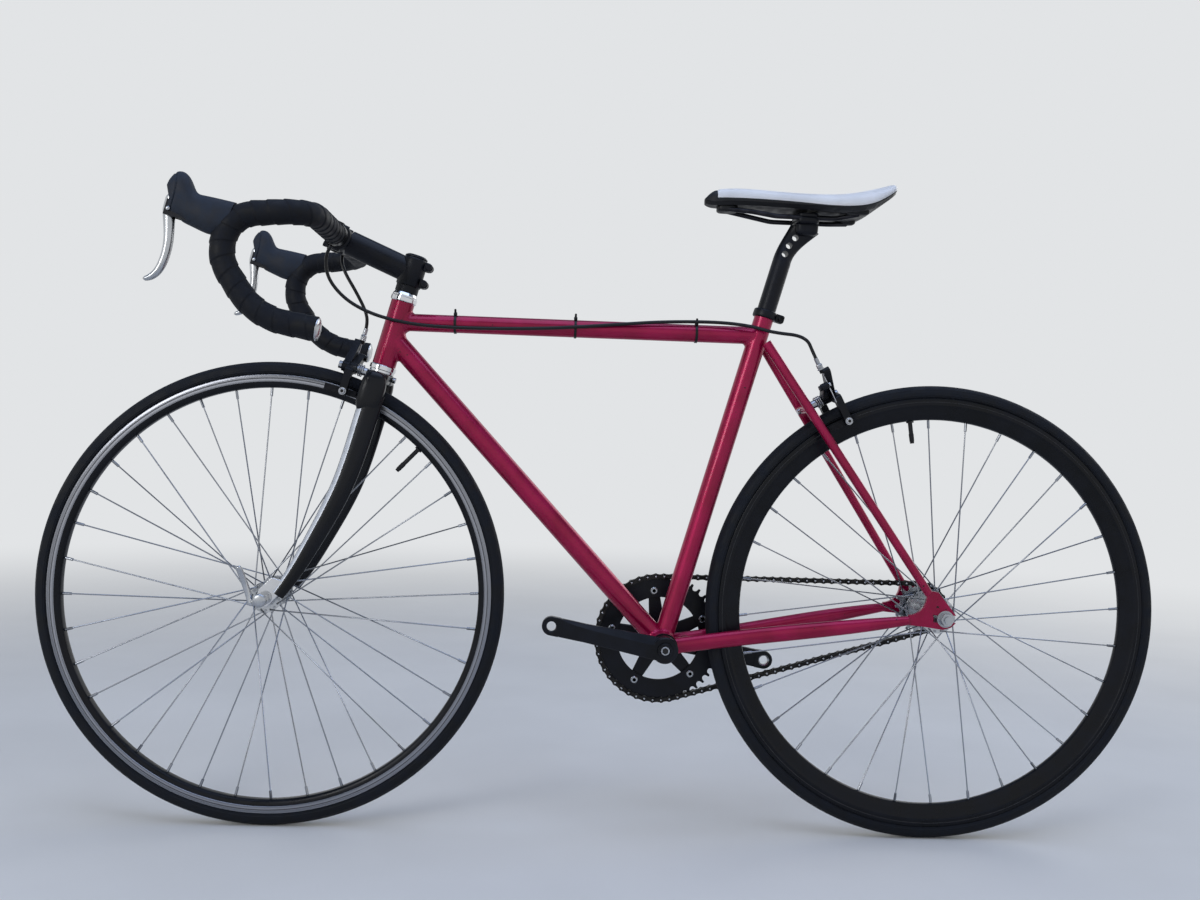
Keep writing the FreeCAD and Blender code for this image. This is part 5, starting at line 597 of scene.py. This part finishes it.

# Tyres and tubes: moulded black rubber over cord, with a smooth crown and fine ribs on the side walls.
# The tube's valve stands through the rim.
# The rubber's blue tint is painted sky light.
rubber = surface("moulded_tyre_rubber", 18, "#0E1118 #0A0D13 #141820", (0.66, 0.56, 0.78), grain_mm=(1.1, 0.06),
                 Specular_IOR_Level=0.22)
tube_rubber = surface("black_butyl", 10, "#0E0E12 #0B0B0E #141418", (0.6, 0.5, 0.7), Specular_IOR_Level=0.35)
tyre_half = np.array([(313.0, 0), (313.0, 8.0), (316.4, 8.2), (316.9, 8.7), (317.6, 9.9), (318.6, 10.8), (318.8, 11.2),
                      (319.3, 11.3), (319.6, 11.2), (320.6, 11.7), (320.8, 12.0), (321.3, 12.0), (321.6, 11.85),
                      (323.0, 11.95), (325.0, 11.7), (327.0, 11.0), (328.9, 10.0), (329.3, 10.0), (331.0, 8.5),
                      (332.6, 6.7), (333.8, 4.7), (334.7, 2.4), (335.0, 0)])
for wheel, valve_turn, valve_tip, inner in (("front", 46.6, 252.5, 297.5), ("rear", 98.2, 251.5, 284.5)):
    tyre = skin(wheel + "_tyre_rubber", [turned(mirrored(tyre_half), AXLES[wheel], ACROSS, 240)], rubber,
                wheel + "_wheel")
    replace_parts(tyre, wheel + "_tyre")
    dressed(wheel + "_inner_tube", tube_rubber, edge_mm=0)
    out = np.array([np.cos(np.radians(valve_turn)), 0, np.sin(np.radians(valve_turn))])
    to_rim = inner - valve_tip
    valve = [(0, 0), (1.6, 0), (2.3, 0.8), (3.4, 3.0), (3.6, 14.0), (3.2, 14.4), (3.15, to_rim - 2.6),
             (5.4, to_rim - 2.4), (5.4, to_rim - 0.2), (0, to_rim - 0.2)]
    skin(wheel + "_valve_cap", [turned(valve, AXLES[wheel] + valve_tip * out, out, 32)], tube_rubber,
         wheel + "_wheel")

# Stem and bar clamp: forged and black-anodised aluminium, split at the back, where two bolts squeeze it on the steerer.
# A plate held by four more bolts clamps the bar.
CLAMP = np.array([-113.0, 0, 156.8])
column = [(12.8, 119.8), (17.0, 119.8), (18.0, 120.8), (18.0, 158.2), (17.2, 160.6), (15.6, 161.7), (12.8, 161.7),
          (12.8, 119.8)]
clamp_ring = [(13.05, -21), (18.0, -21), (18.6, -20.4), (18.6, 20.4), (18.0, 21), (13.05, 21), (13.05, -21)]
ear = [(0, 0.7), (5.2, 0.7), (5.8, 1.3), (5.8, 8.0), (4.8, 9.0), (0, 9.0)]
beam = np.array([-6.0, 0, 141.65]) + np.linspace(0, 1, 12)[:, None] * np.array([-91.5, 0, 12.95])
stem = [turned(column, (0, 0, 0), (0, 0, 1), 72), turned(clamp_ring, CLAMP, ACROSS, 72),
        carried(beam, 18, 16, ACROSS, 48)]
for z in (128.2, 153.4):
    stem += [turned(ear, (22.0, 0, z), (0, y, 0), 40) for y in (-1, 1)]
    stem += [rounded_block((15.0, y, z), upright, (9.5, 4.0, 6.4), 0.35) for y in (-4.8, 4.8)]
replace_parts(skin("stem_forged", [steered(grid) for grid in stem], black_alloy, "steering", 50), "stem")
dressed("stem_faceplate", black_alloy, edge_mm=1.4)
dressed("stem_bolts", black_alloy, edge_mm=0.5)

# Handlebar: a bent aluminium drop bar, bare and black by the stem, closed by bright end plugs.
# Foam tape is wound on in a slope from the ends to the middle, each turn lapping the one before.
dressed("handlebar", black_alloy, edge_mm=0)
dressed("bar_end_plugs", silver_alloy, edge_mm=0.8)
# The foam's blue tint is painted sky light.
tape_foam = surface("wound_foam_tape", 14, "#0A0D15 #07090F #10141D", (0.62, 0.52, 0.74), grain_mm=(1.3, 0.10),
                    Specular_IOR_Level=0.22)


def bent_line(corners, radii, count):
    """Straight runs joined by arcs: an arc starts r tan(half the turn) before its corner and runs
    r sin(a) along the old way and r (1 - cos(a)) to the new side. The points are then spaced evenly by length."""
    corners = np.array(corners, float)
    runs = [corners[:1]]
    for before, corner, after, radius in zip(corners, corners[1:], corners[2:], radii):
        way, next_way = unit(corner - before), unit(after - corner)
        whole = np.arccos(np.clip(way @ next_way, -1, 1))
        a = np.linspace(0, whole, 24)[:, None]
        runs.append(corner - radius * np.tan(whole / 2) * way + radius * np.sin(a) * way
                    + radius * (1 - np.cos(a)) * unit(next_way - (way @ next_way) * way))
    line = np.concatenate(runs + [corners[-1:]])
    length = lengths(line)
    even = np.linspace(0, length[-1], count)
    return np.stack([np.interp(even, length, line[:, i]) for i in range(3)], 1), even


BAR_HALF, BAR_REACH, BAR_DROP = 203.0, 95, 149
bar_shares = np.array([(-1.0, -0.24), (-0.95, -0.62), (-0.28, -1.0), (0.54, -0.95)])
tapes, bands = [], []
lap, lap_rise = 21.0, 1.5
for side in (-1, 1):
    drops = np.stack([BAR_REACH * bar_shares[:, 0], 0 * bar_shares[:, 0], BAR_DROP * bar_shares[:, 1]], 1)
    corner = CLAMP + (0, side * BAR_HALF, 0)
    line, length = bent_line([CLAMP + (0, side * 33, 0), corner, *(corner + drops)], (45, 44, 55, 90), 620)
    low = np.clip((length - 200) / 60, 0, 1)[:, None]
    reference = unit((1 - low) * np.array([0, 0, 1.0]) + low * ACROSS)
    turn = np.linspace(0, 2 * np.pi, 41)
    wrap = (-length[:, None] / lap + side * turn[None] / (2 * np.pi)) % 1
    thick = 15.1 + lap_rise * np.clip(wrap / 0.06, 0, 1) * (1 - 0.75 * wrap)
    tapes.append(carried(line, thick, thick, reference, 40))
    band = CLAMP + np.array([0, side, 0]) * np.linspace(32.2, 47.5, 14)[:, None]
    bands.append(carried(band, 16.75, 16.75, (0, 0, 1.0)))
tape = skin("wound_tape", [steered(grid) for grid in tapes], tape_foam, "steering", angle=60)
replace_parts(tape, "bar_tape")
gloss_plastic = surface("black_nylon", 6, "#0A0B0F #08090B #0F1013", (0.36, 0.30, 0.44), Specular_IOR_Level=0.3)
skin("tape_end_bands", [steered(grid) for grid in bands], gloss_plastic, "steering")

# Brake levers: cast brackets clamped on the bar under moulded rubber hoods with a horn, open below for the lever.
# The hood rubber is matt and dark grey with a fine texture, its blue tint painted sky light. The levers are polished,
# flat at the pin and hooked at the tip.
hood_rubber = surface("moulded_hood_rubber", 16, "#1A212D #161C27 #212A38", (0.60, 0.54, 0.72), grain_mm=(1.4, 0.12),
                      Specular_IOR_Level=0.32)
dressed("lever_brackets", black_alloy, edge_mm=0.8)
hood_keys = np.array([(-0.06, -0.40, 0.27, 0.42), (0.17, -0.49, 0.25, 0.48), (0.42, -0.46, 0.22, 0.47),
                      (0.56, -0.43, 0.26, 0.46), (0.66, -0.41, 0.42, 0.45), (0.76, -0.42, 0.53, 0.43),
                      (0.86, -0.42, 0.54, 0.39), (0.93, -0.37, 0.46, 0.33), (0.965, -0.30, 0.36, 0.27)])
lever_keys = np.array([(-0.045, 0.215, 3.4, 5.6), (-0.04, 0.16, 7.0, 6.0), (-0.02, 0.0, 8.5, 6.2),
                       (0.015, -0.14, 7.2, 6.2), (0.065, -0.32, 6.2, 6.4), (0.095, -0.50, 5.8, 6.5),
                       (0.093, -0.68, 5.5, 6.5), (0.06, -0.82, 5.0, 6.2), (0.0, -0.91, 4.2, 5.4),
                       (-0.065, -0.955, 3.0, 4.2), (-0.085, -0.962, 1.4, 2.4)])
hood_length, hood_height, hood_width, lever_length, lever_slot, pin_out = 84, 63, 33, 96, 7.2, 13.0
hoods, hood_pins = [], []
for side, name in ((-1, "left"), (1, "right")):
    corner = np.array([-208.0, side * BAR_HALF, 121.04])
    ahead = np.linspace(-0.06, 0.965, 120)
    low, high, wide = (smooth(hood_keys[:, 0], hood_keys[:, 1:], ahead) * (hood_height, hood_height, hood_width)).T
    slot_half = np.interp(ahead, (0.60, 0.64), (0.0, lever_slot))
    start = np.arcsin(np.clip(slot_half / wide, 0, 1))[:, None]
    turn = start + np.linspace(0, 1, 81)[None] * (2 * np.pi - 2 * start)
    rise = (1 - np.cos(turn)) / 2
    parting = np.exp(-((ahead[:, None] - 0.79 - 0.13 * rise ** 4 - 0.05 * (1 - rise) ** 4) / 0.008) ** 2)
    shrink = 1 - 0.08 * parting
    across, upward = (np.sign(w) * np.abs(w) ** 0.88 for w in (np.sin(turn), np.cos(turn)))
    y = wide[:, None] * across * shrink
    z = (low + high)[:, None] / 2 - (high - low)[:, None] / 2 * upward * shrink
    recess = np.clip((ahead[:, None] - 0.78) / 0.185, 0, 1) ** 2 * np.clip((12 - z) / 16, 0, 1)
    hood = corner + np.stack([8 * recess - hood_length * ahead[:, None], y, z], -1)
    back = np.broadcast_to(hood[:1].mean(1, keepdims=True), hood[:1].shape)
    lips = np.where(z[-1] < -10, lever_slot, 0.0)
    front = corner + np.stack([8 * recess[-1] - hood_length * 0.968, np.clip(y[-1], -lips, lips), z[-1]], -1)[None]
    hoods.append(steered(np.concatenate([back, hood, front])))
    pivot = np.array([-278.0, side * BAR_HALF, 105.04])
    line = pivot + lever_length * np.stack([lever_keys[:, 0], 0 * lever_keys[:, 0], lever_keys[:, 1]], 1)
    blade = skin(name + "_lever_blade", [steered(swept(line, lever_keys[:, 2:], ACROSS, 110, 40))], silver_alloy,
                 name + "_lever", angle=60)
    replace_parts(blade, name + "_brake_lever")
    dome = [(0, 0.9), (1.5, 0.8), (2.5, 0.2), (2.6, -4.0), (0, -4.0)]
    hood_pins += [steered(turned(dome, pivot + (0, out * pin_out, 0), (0, out, 0), 24)) for out in (-1, 1)]
hood = skin("hood_rubbers", hoods, hood_rubber, "steering", angle=60)
wall = hood.modifiers.new("wall", "SOLIDIFY")
wall.thickness, wall.offset = 0.002, -1.0
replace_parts(hood, "lever_hoods")
skin("lever_pin_ends", hood_pins, bright_steel, "steering")

# Calipers: forged and black-anodised side-pull arms on one bolt with a bright spring, rubber pads in bolted holders,
# a bright barrel adjuster at the cable stop and a bright clamp for the wire.
pad_rubber = surface("brake_pad_rubber", 5, "#111114 #0D0D10 #18181B", (0.8, 0.7, 0.9), grain_mm=(1.0, 0.05),
                     Specular_IOR_Level=0.3)
CALIPERS = {"front": (steered(np.array([-35.0, 0, -17.0])), np.array([-ACROSS, STEER_UP, -STEER_BACK])),
            "rear": (np.array([308.875, 0, 642.164]), np.array([ACROSS, (-0.4631, 0, 0.8863), (0.8863, 0, 0.4631)]))}


def on_caliper(end, points):
    """From a caliper's own axes (across the wheel, up, outwards from its bolt's seat) to the bike's."""
    return CALIPERS[end][0] + np.asarray(points, float) @ CALIPERS[end][1]


def on_pad(end):
    """Faces of a caliper that lie low and near its middle plane are the pads."""
    def choose(at):
        x, y, z = ((at - CALIPERS[end][0]) @ CALIPERS[end][1].T).T
        return (np.abs(x) < 22.3) & (y < -22)
    return choose


def on_wire(at):
    """A point of a caliper's own axes on the line of the brake wire, at a height over the bolt."""
    return np.array([-35.0, at, 10.8])


barrel = [(0, 43.2), (4.8, 43.2), (4.8, 45.0), (3.6, 45.3), (3.6, 46.0), (4.3, 46.4), (4.3, 51.0), (3.6, 52.0),
          (0, 52.0)]
coil_turn = np.linspace(0, 2 * np.pi * 2.6, 110)
coil = np.stack([8.4 * np.cos(coil_turn), 8.4 * np.sin(coil_turn), np.linspace(-9.5, -1.6, 110)], 1)
for end, clamp_side, stop_side, carrier in (("front", "left", "right", "steering"), ("rear", "right", "left", "frame")):
    for side in ("left", "right"):
        dressed("%s_brake_%s_arm" % (end, side), black_alloy, pad_rubber, edge_mm=2.0, choose=on_pad(end))
    dressed(end + "_brake_bolt", bright_steel, edge_mm=0.5)
    reach = np.linalg.norm(CALIPERS[end][0] - AXLES[end]) - 311.25
    for side, out, level in ((clamp_side, 1, 5.25), (stop_side, -1, 16.35)):
        foot = np.array([out * 33.0, -reach, level])
        fittings = [turned([(0, -1), (5.3, -1), (5.3, 0.8), (0, 0.8)], foot, (out, 0, 0), 32),
                    socket_head(foot + (0.8 * out, 0, 0), (out, 0, 0), 4.2, 2.4, 2.2, 1.8)]
        if side == stop_side:
            fittings.append(turned(barrel, on_wire(0), ACROSS, 80, 20, 0.03))
        else:
            fittings.append(socket_head((-35.0, 19.0, 11.7), (0, 0, 1), 3.4, 2.4, 1.9, 1.6))
        index = [plain(grid) for grid in fittings]
        # The bolt head's socket takes the painted shade.
        index[1][:, 4:] = 1
        skin("%s_%s_brake_fittings" % (end, side), [on_caliper(end, grid) for grid in fittings],
             [bright_steel, socket_shade], "%s_%s_arm" % (end, side), indices=index)
    skin(end + "_brake_spring", [on_caliper(end, carried(coil, 0.9, 0.9, (0, 0, 1.0), 10))], bright_steel, carrier,
         angle=60)

# Brake cables: a steel wire in a black plastic housing. The front one drops from the bar to the caliper, the rear one
# runs along the top tube, where three ties hold it, and curves down between bar and tube.
# A plated ferrule seats each housing in the stop on one brake arm, and the bare wire runs on to the clamp on the other.
housing_black = surface("extruded_housing_plastic", 8, "#0A0B0F #08090B #0F1014", (0.36, 0.30, 0.44),
                        Specular_IOR_Level=0.32)


def routed(points):
    """Points along the smooth line that a NURBS spline of order 3 draws from a route's control points."""
    curve = bpy.data.curves.new("route", "CURVE")
    curve.dimensions = "3D"
    curve.resolution_u = 10
    spline = curve.splines.new("NURBS")
    spline.points.add(len(points) - 1)
    spline.points.foreach_set("co", np.c_[points, np.ones(len(points))].ravel())
    spline.order_u = 3
    spline.use_endpoint_u = True
    holder = bpy.data.objects.new("route", curve)
    mesh = bpy.data.meshes.new_from_object(holder)
    line = np.empty(3 * len(mesh.vertices))
    mesh.vertices.foreach_get("co", line)
    bpy.data.objects.remove(holder)
    bpy.data.curves.remove(curve)
    bpy.data.meshes.remove(mesh)
    return line.reshape(-1, 3)


under_bar = CLAMP - (0, 0, 19.0)
wire_top, ferrule_top, housing_half = 52.3, 61.8, 2.5
stop_top = {end: on_caliper(end, on_wire(wire_top)) for end in CALIPERS}
front_stop = (stop_top["front"] - HEAD_FOOT) @ np.array([STEER_BACK, ACROSS, STEER_UP]).T
front_route = [under_bar + (0, 46, 0), under_bar + (3, 39, -10), under_bar + (16, 35, -26), under_bar + (36, 33, -44),
               front_stop + (-6, -1, 32), front_stop + (0, 0, 14), front_stop]
front_line = steered(routed(np.array(front_route)))
rear_start, rear_up = np.array([-405.99, 0, 832.97]), CALIPERS["rear"][1][1]
rear_route = [rear_start + (2, -46, 0), rear_start + (-6, -40, -8), (-413, -37, 801), (-404, -36, 780),
              (-382, -33, 758), (-352, -28, 743), (-318, -23, 734), (-276, -19, 728.5), (-222, -17, 727.5),
              (-166, -17, 728.5), (-108, -16.6, 731), (-52, -16.4, 735.5), (6, -15.2, 741.5), (62, -11.7, 747.5),
              (120, -9, 750.5), (164, -12, 750), (200, -19, 745.5), (228, -27, 737),
              stop_top["rear"] + 38 * rear_up + (-1, 3, 6), stop_top["rear"] + 16 * rear_up, stop_top["rear"]]
rear_line = routed(np.array(rear_route, float))
least = np.linalg.svd(unit(np.gradient(rear_line, axis=0)))[2][-1]
leave = np.argmin(np.linalg.norm(rear_line - stop_top["rear"] - 44 * rear_up, axis=1))
front_cable, rear_cable, rear_end = [
    skin(name, [carried(line, housing_half, housing_half, reference, 16)], housing_black, None)
    for name, line, reference in (("front_cable_housing", front_line, (0.3, 1.0, 0.1)),
                                  ("rear_cable_housing", rear_line[:leave + 1], least),
                                  ("rear_cable_housing_end", rear_line[leave:], least))]
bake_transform(rear_cable)
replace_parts(front_cable, "front_brake_housing")
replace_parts(rear_cable, "rear_brake_housing")
wire_middle, wire_half = 27.5, 0.8
for end, body, stop_arm, clamp_arm, housing in (("front", "steering", "front_right_arm", "front_left_arm", front_cable),
                                                ("rear", "frame", "rear_left_arm", "rear_right_arm", rear_end)):
    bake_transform(housing)
    for name, last, arm, follows in (("upper", wire_top, stop_arm, 39.0), ("lower", -9.0, clamp_arm, 21.5)):
        strand = [(0, wire_middle), *[(wire_half, at) for at in np.linspace(wire_middle, last, 16)], (0, last)]
        wire = skin("%s_%s_bare_wire" % (end, name), [on_caliper(end, turned(strand, on_wire(0), ACROSS, 12))],
                    bright_steel, None)
        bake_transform(wire)
    ferrule = [(0, 52.4), (2.9, 52.4), (3.3, 52.8), (3.3, 61.4), (2.7, ferrule_top), (0, ferrule_top)]
    skin(end + "_wire_ferrule", [on_caliper(end, turned(ferrule, on_wire(0), ACROSS, 24))], bright_steel, stop_arm)
dressed("cable_ties", gloss_plastic, edge_mm=0.3)
tie_axes = np.array([(1.0, 0, 0), (0, 0.92, 0.39), (0, -0.39, 0.92)])
tie_places = [np.array([-315.52 + share * 527.36, 0, 734.0]) for share in (0.16, 0.49, 0.825)]
tie_heads = [rounded_block(place + 15.4 * tie_axes[2], tie_axes, (2.6, 2.9, 2.2)) for place in tie_places]
tie_heads += [rounded_block(place + 19 * tie_axes[2] - 1.6 * tie_axes[1], tie_axes, (1.6, 0.6, 4.5))
              for place in tie_places]
skin("cable_tie_heads", tie_heads, gloss_plastic, "frame", angle=60)

# Seat collar and post: a split black ring squeezed by one bolt on a black post with a drilled, laid-back head.
# The saddle's rails lie between a rounded cradle on the head and a cap.
SEAT_BACK = np.cross(ACROSS, SEAT_UP)
collar_edge = [(14.5, 500), (16.4, 500), (17.3, 500.8), (17.6, 502.4), (17.6, 509), (17.2, 510.8), (16.2, 511.8),
               (14.5, 511.8), (14.5, 500)]
lug_middle = BRACKET + 506 * SEAT_UP + 20.6 * SEAT_BACK
collar = [turned(collar_edge, BRACKET, SEAT_UP, 72)]
collar += [rounded_block(lug_middle + (0, y, 0), [SEAT_BACK, ACROSS, SEAT_UP], (8.0, 3.1, 5.9)) for y in (-3.9, 3.9)]
collar.append(turned([(0, -7.0), (2.5, -7.0), (2.5, 7.0), (0, 7.0)], lug_middle + 2.5 * SEAT_BACK, ACROSS, 24))
collar.append(socket_head(lug_middle + 2.5 * SEAT_BACK - 7.0 * ACROSS, -ACROSS, 4.2, 4.6, 2.2, 2.4))
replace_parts(skin("seat_collar_ring", collar, black_alloy, "frame", angle=60), "seat_collar")
dressed("seatpost", black_alloy, edge_mm=0.8)
clamp_blocks = [rounded_block((276, 0, 893.5), upright, (17, 18, 12), 0.5),
                rounded_block((274.8, 0, 902.5), upright, (17, 27, 5.5), 0.4),
                rounded_block((274.8, 0, 909.5), upright, (16, 26.5, 3.8), 0.4)]
blocks = skin("rail_clamp_blocks", clamp_blocks, black_alloy, "seat", angle=60)
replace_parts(blocks, "seatpost_clamp")

# Saddle: bent steel rails plugged into a moulded black shell, under foam with a stitched cover.
# The cover is white with a small black nose patch. Its lower edge is painted black as the shade of the underside, a
# band that thins out towards the back; only at the nose is that black edge the cover's own.
rail_steel = surface("dark_rail_steel", 14, "#232327 #1C1C20 #2D2D32", (0.34, 0.28, 0.42), 0.85)
shell_plastic = surface("moulded_shell_plastic", 12, "#0E1014 #0C0D10 #141519", (0.5, 0.42, 0.6),
                        grain_mm=(0.9, 0.05), Specular_IOR_Level=0.28)
white_cover = surface("white_coated_cover", 40, "#DEDFE1 #D6D7D9 #E4E5E7", (0.42, 0.36, 0.52), grain_mm=(1.5, 0.09))
# This black serves both the real nose patch and the painted shade along the cover's lower edge.
black_patch_and_shade = surface("black_nose_patch_and_painted_shade", 20, "#0E1014 #0C0C0F #151519", (0.5, 0.42, 0.58), grain_mm=(1.5, 0.09),
                      Specular_IOR_Level=0.28)
dressed("saddle_rails", rail_steel, edge_mm=0)
dressed("saddle_shell", shell_plastic, edge_mm=1.0)
sockets = [rounded_block((159, 0, 917.5), upright, (15, 13, 5.5), 0.5)]
sockets += [rounded_block((342, y, 916), upright, (17, 8, 7.0), 0.5) for y in (-38, 38)]
skin("rail_sockets", sockets, shell_plastic, "seat", angle=60)
saddle_shares = np.array([(0, 0.10, 0.14, 0.22), (0.03, 0.19, 0.06, 0.46), (0.09, 0.26, 0.05, 0.64),
                          (0.22, 0.32, 0.06, 0.68), (0.40, 0.42, 0, 0.60), (0.58, 0.64, -0.12, 0.52),
                          (0.74, 0.90, -0.22, 0.54), (0.86, 1.0, -0.06, 0.72), (0.95, 0.90, 0.38, 0.92),
                          (0.985, 0.70, 0.62, 0.97), (1.0, 0.46, 0.76, 0.95)])
# How much of each side, from the bottom, is painted black as the underside's shade, thinning towards the back; at the
# nose it is the cover's own black edge.
shade_edge_keys = np.array([(0, 0.40), (0.06, 0.30), (0.20, 0.22), (0.40, 0.20), (0.52, 0.14), (0.62, 0.08), (0.75, 0.05),
                      (1, 0.05)])
saddle_nose, saddle_length, saddle_half, saddle_low, saddle_rise = 126.0, 274.0, 68.0, 924.0, 34.0
patch_end = 0.062
along = np.concatenate([np.linspace(0, patch_end, 22)[:-1], np.linspace(patch_end, 0.9, 120)[:-1],
                        np.linspace(0.9, 1, 34)])
half, edge, top = smooth(saddle_shares[:, 0], saddle_shares[:, 1:], along).T
shaded_share = smooth(shade_edge_keys[:, 0], shade_edge_keys[:, 1], along)
seam_lean = np.arccos(shaded_share ** (1 / 0.75))[:, None]
below, above = np.linspace(0, 1, 15)[None], np.linspace(-1, 1, 91)[None]
lean = np.concatenate([(below - 1) * (np.pi / 2 - seam_lean) - seam_lean, above[:, 1:-1] * seam_lean,
                       below * (np.pi / 2 - seam_lean) + seam_lean], 1)
sine, cosine = np.sin(lean), np.maximum(np.cos(lean), 0)
low, high = saddle_low + edge * saddle_rise, saddle_low + top * saddle_rise
x = saddle_nose + along * saddle_length
seam = np.exp(-((np.abs(lean) - seam_lean) / 0.03) ** 2) + np.exp(-((along - patch_end) / 0.006) ** 2)[:, None]
over = np.stack([np.broadcast_to(x[:, None], lean.shape),
                 saddle_half * half[:, None] * np.sign(sine) * np.abs(sine) ** 0.72 * (1 - 0.008 * seam),
                 low[:, None] + (high - low)[:, None] * cosine ** 0.75 - 0.6 * seam * cosine], -1)
base = np.stack([x, 0 * x, low], 1)[:, None]
cover = np.concatenate([base, over, base], 1)
caps = [np.repeat(cover[[i]].mean(1, keepdims=True), cover.shape[1], 1) for i in (0, -1)]
cover = np.concatenate([caps[0], cover, caps[1]])
columns = np.arange(cover.shape[1] - 1)
# The lowest columns on each side take the black: painted shade of the underside, and at the nose the cover's own black
# edge.
nose_edge_and_shade_strip = (columns < 15) | (columns >= len(columns) - 15)
patch = np.concatenate([[True], (along[:-1] + along[1:]) / 2 < patch_end, [False]])
saddle = skin("padded_saddle_cover", [cover], [white_cover, black_patch_and_shade], "seat", angle=70,
              indices=[nose_edge_and_shade_strip[None] | patch[:, None]])
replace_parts(saddle, "saddle_cover")

# Floor, lights and camera: a pale floor that fades into a pale room under a wide soft light.
# The camera stands on the bike's left, where the photo was taken.


def seen_first(tree):
    """1 for rays that come from the camera, from a mirror or through glass, else 0."""
    seen = add(tree, "LightPath").outputs
    clear = add(tree, "Math", {0: seen["Is Camera Ray"], 1: seen["Is Glossy Ray"]}, operation="MAXIMUM")
    return add(tree, "Math", {0: clear, 1: seen["Is Transmission Ray"]}, operation="MAXIMUM")


floor_grey = surface("pale_matt_floor", 400, "#E0E0DE #DDDDDB #E3E3E1", 0.85)
studio = floor_grey.node_tree
spread = add(studio, "VectorMath", {0: add(studio, "TexCoord").outputs["Object"]}, operation="LENGTH").outputs["Value"]
fade = add(studio, "MapRange", {"Value": spread, "From Min": 1.1, "From Max": 4.5}, interpolation_type="SMOOTHSTEP")
fade = add(studio, "Math", {0: fade, 1: seen_first(studio)}, operation="MULTIPLY")
haze = add(studio, "Emission", {"Color": linear("#E2E4E6"), "Strength": 1.0})
faded = add(studio, "MixShader", {"Fac": fade, 1: studio.nodes["Principled BSDF"], 2: haze})
studio.links.new(faded.outputs["Shader"], studio.nodes["Material Output"].inputs["Surface"])
floor = bpy.data.objects.new("floor", bpy.data.meshes.new("floor"))
floor.data.from_pydata([(-12, -12, 0), (12, -12, 0), (12, 12, 0), (-12, 12, 0)], [], [(0, 1, 2, 3)])
floor.data.materials.append(floor_grey)
bpy.context.collection.objects.link(floor)


def stand(name, data, axes, place):
    """A lamp or camera at a place, with its own three axes along the given ones."""
    holder = bpy.data.objects.new(name, data)
    holder.matrix_world = Matrix([[*row, at] for row, at in zip(np.array(axes).T, place)] + [[0, 0, 0, 1]])
    bpy.context.collection.objects.link(holder)
    return holder


def lamp(name, place, aim, size, power, colour):
    """A square soft light at a place, turned to face a point."""
    light = bpy.data.lights.new(name, "AREA")
    light.size, light.energy, light.color = size, power, linear(colour)[:3]
    back = unit(np.array(place, float) - aim)
    right = unit(np.cross((0.02, 0.01, 1.0), back))
    stand(name, light, [right, np.cross(back, right), back], place)


middle = np.array([0, 0, 0.5])
lamp("sky_softbox", (0.2, -0.6, 3.4), middle, 3.2, 64, "#CBDCFF")
lamp("left_softbox", (-2.6, -3.0, 2.0), middle, 1.4, 36, "#FFFFFF")
lamp("right_softbox", (2.8, 2.6, 2.2), middle, 2.4, 28, "#FFFFFF")
world = bpy.data.worlds.new("pale_room")
world.use_nodes = True
bpy.context.scene.world = world
room = world.node_tree
height = add(room, "SeparateXYZ", {"Vector": add(room, "TexCoord").outputs["Generated"]}).outputs["Z"]
tone = add(room, "ValToRGB", {"Fac": height})
tone.color_ramp.elements.new(0.62)
for element, position, colour in zip(tone.color_ramp.elements, (0.42, 0.62, 1.0), ("#E2E4E6", "#8695AB", "#465672")):
    element.position, element.color = position, linear(colour)
fill = add(room, "Background", {"Color": linear("#E9EEF6"), "Strength": 0.30})
seen = add(room, "Background", {"Color": tone, "Strength": 1.0})
lit = add(room, "MixShader", {"Fac": seen_first(room), 1: fill, 2: seen})
room.links.new(lit.outputs["Shader"], room.nodes["World Output"].inputs["Surface"])
yaw, pitch, roll = np.radians([-2.48, -0.60, 1.97])
right = np.array([np.cos(yaw), np.sin(yaw), 0])
forward = np.array([-np.sin(yaw) * np.cos(pitch), np.cos(yaw) * np.cos(pitch), np.sin(pitch)])
upward = np.cross(right, forward)
rolled = [np.cos(roll) * right + np.sin(roll) * upward, -np.sin(roll) * right + np.cos(roll) * upward, -forward]
camera = stand("camera", bpy.data.cameras.new("camera"), rolled, (-0.0862, -1.6432, 0.5758))
camera.data.sensor_width, camera.data.lens = 36.0, 33.748
bpy.context.scene.camera = camera
bpy.context.scene.view_settings.view_transform = "Standard"
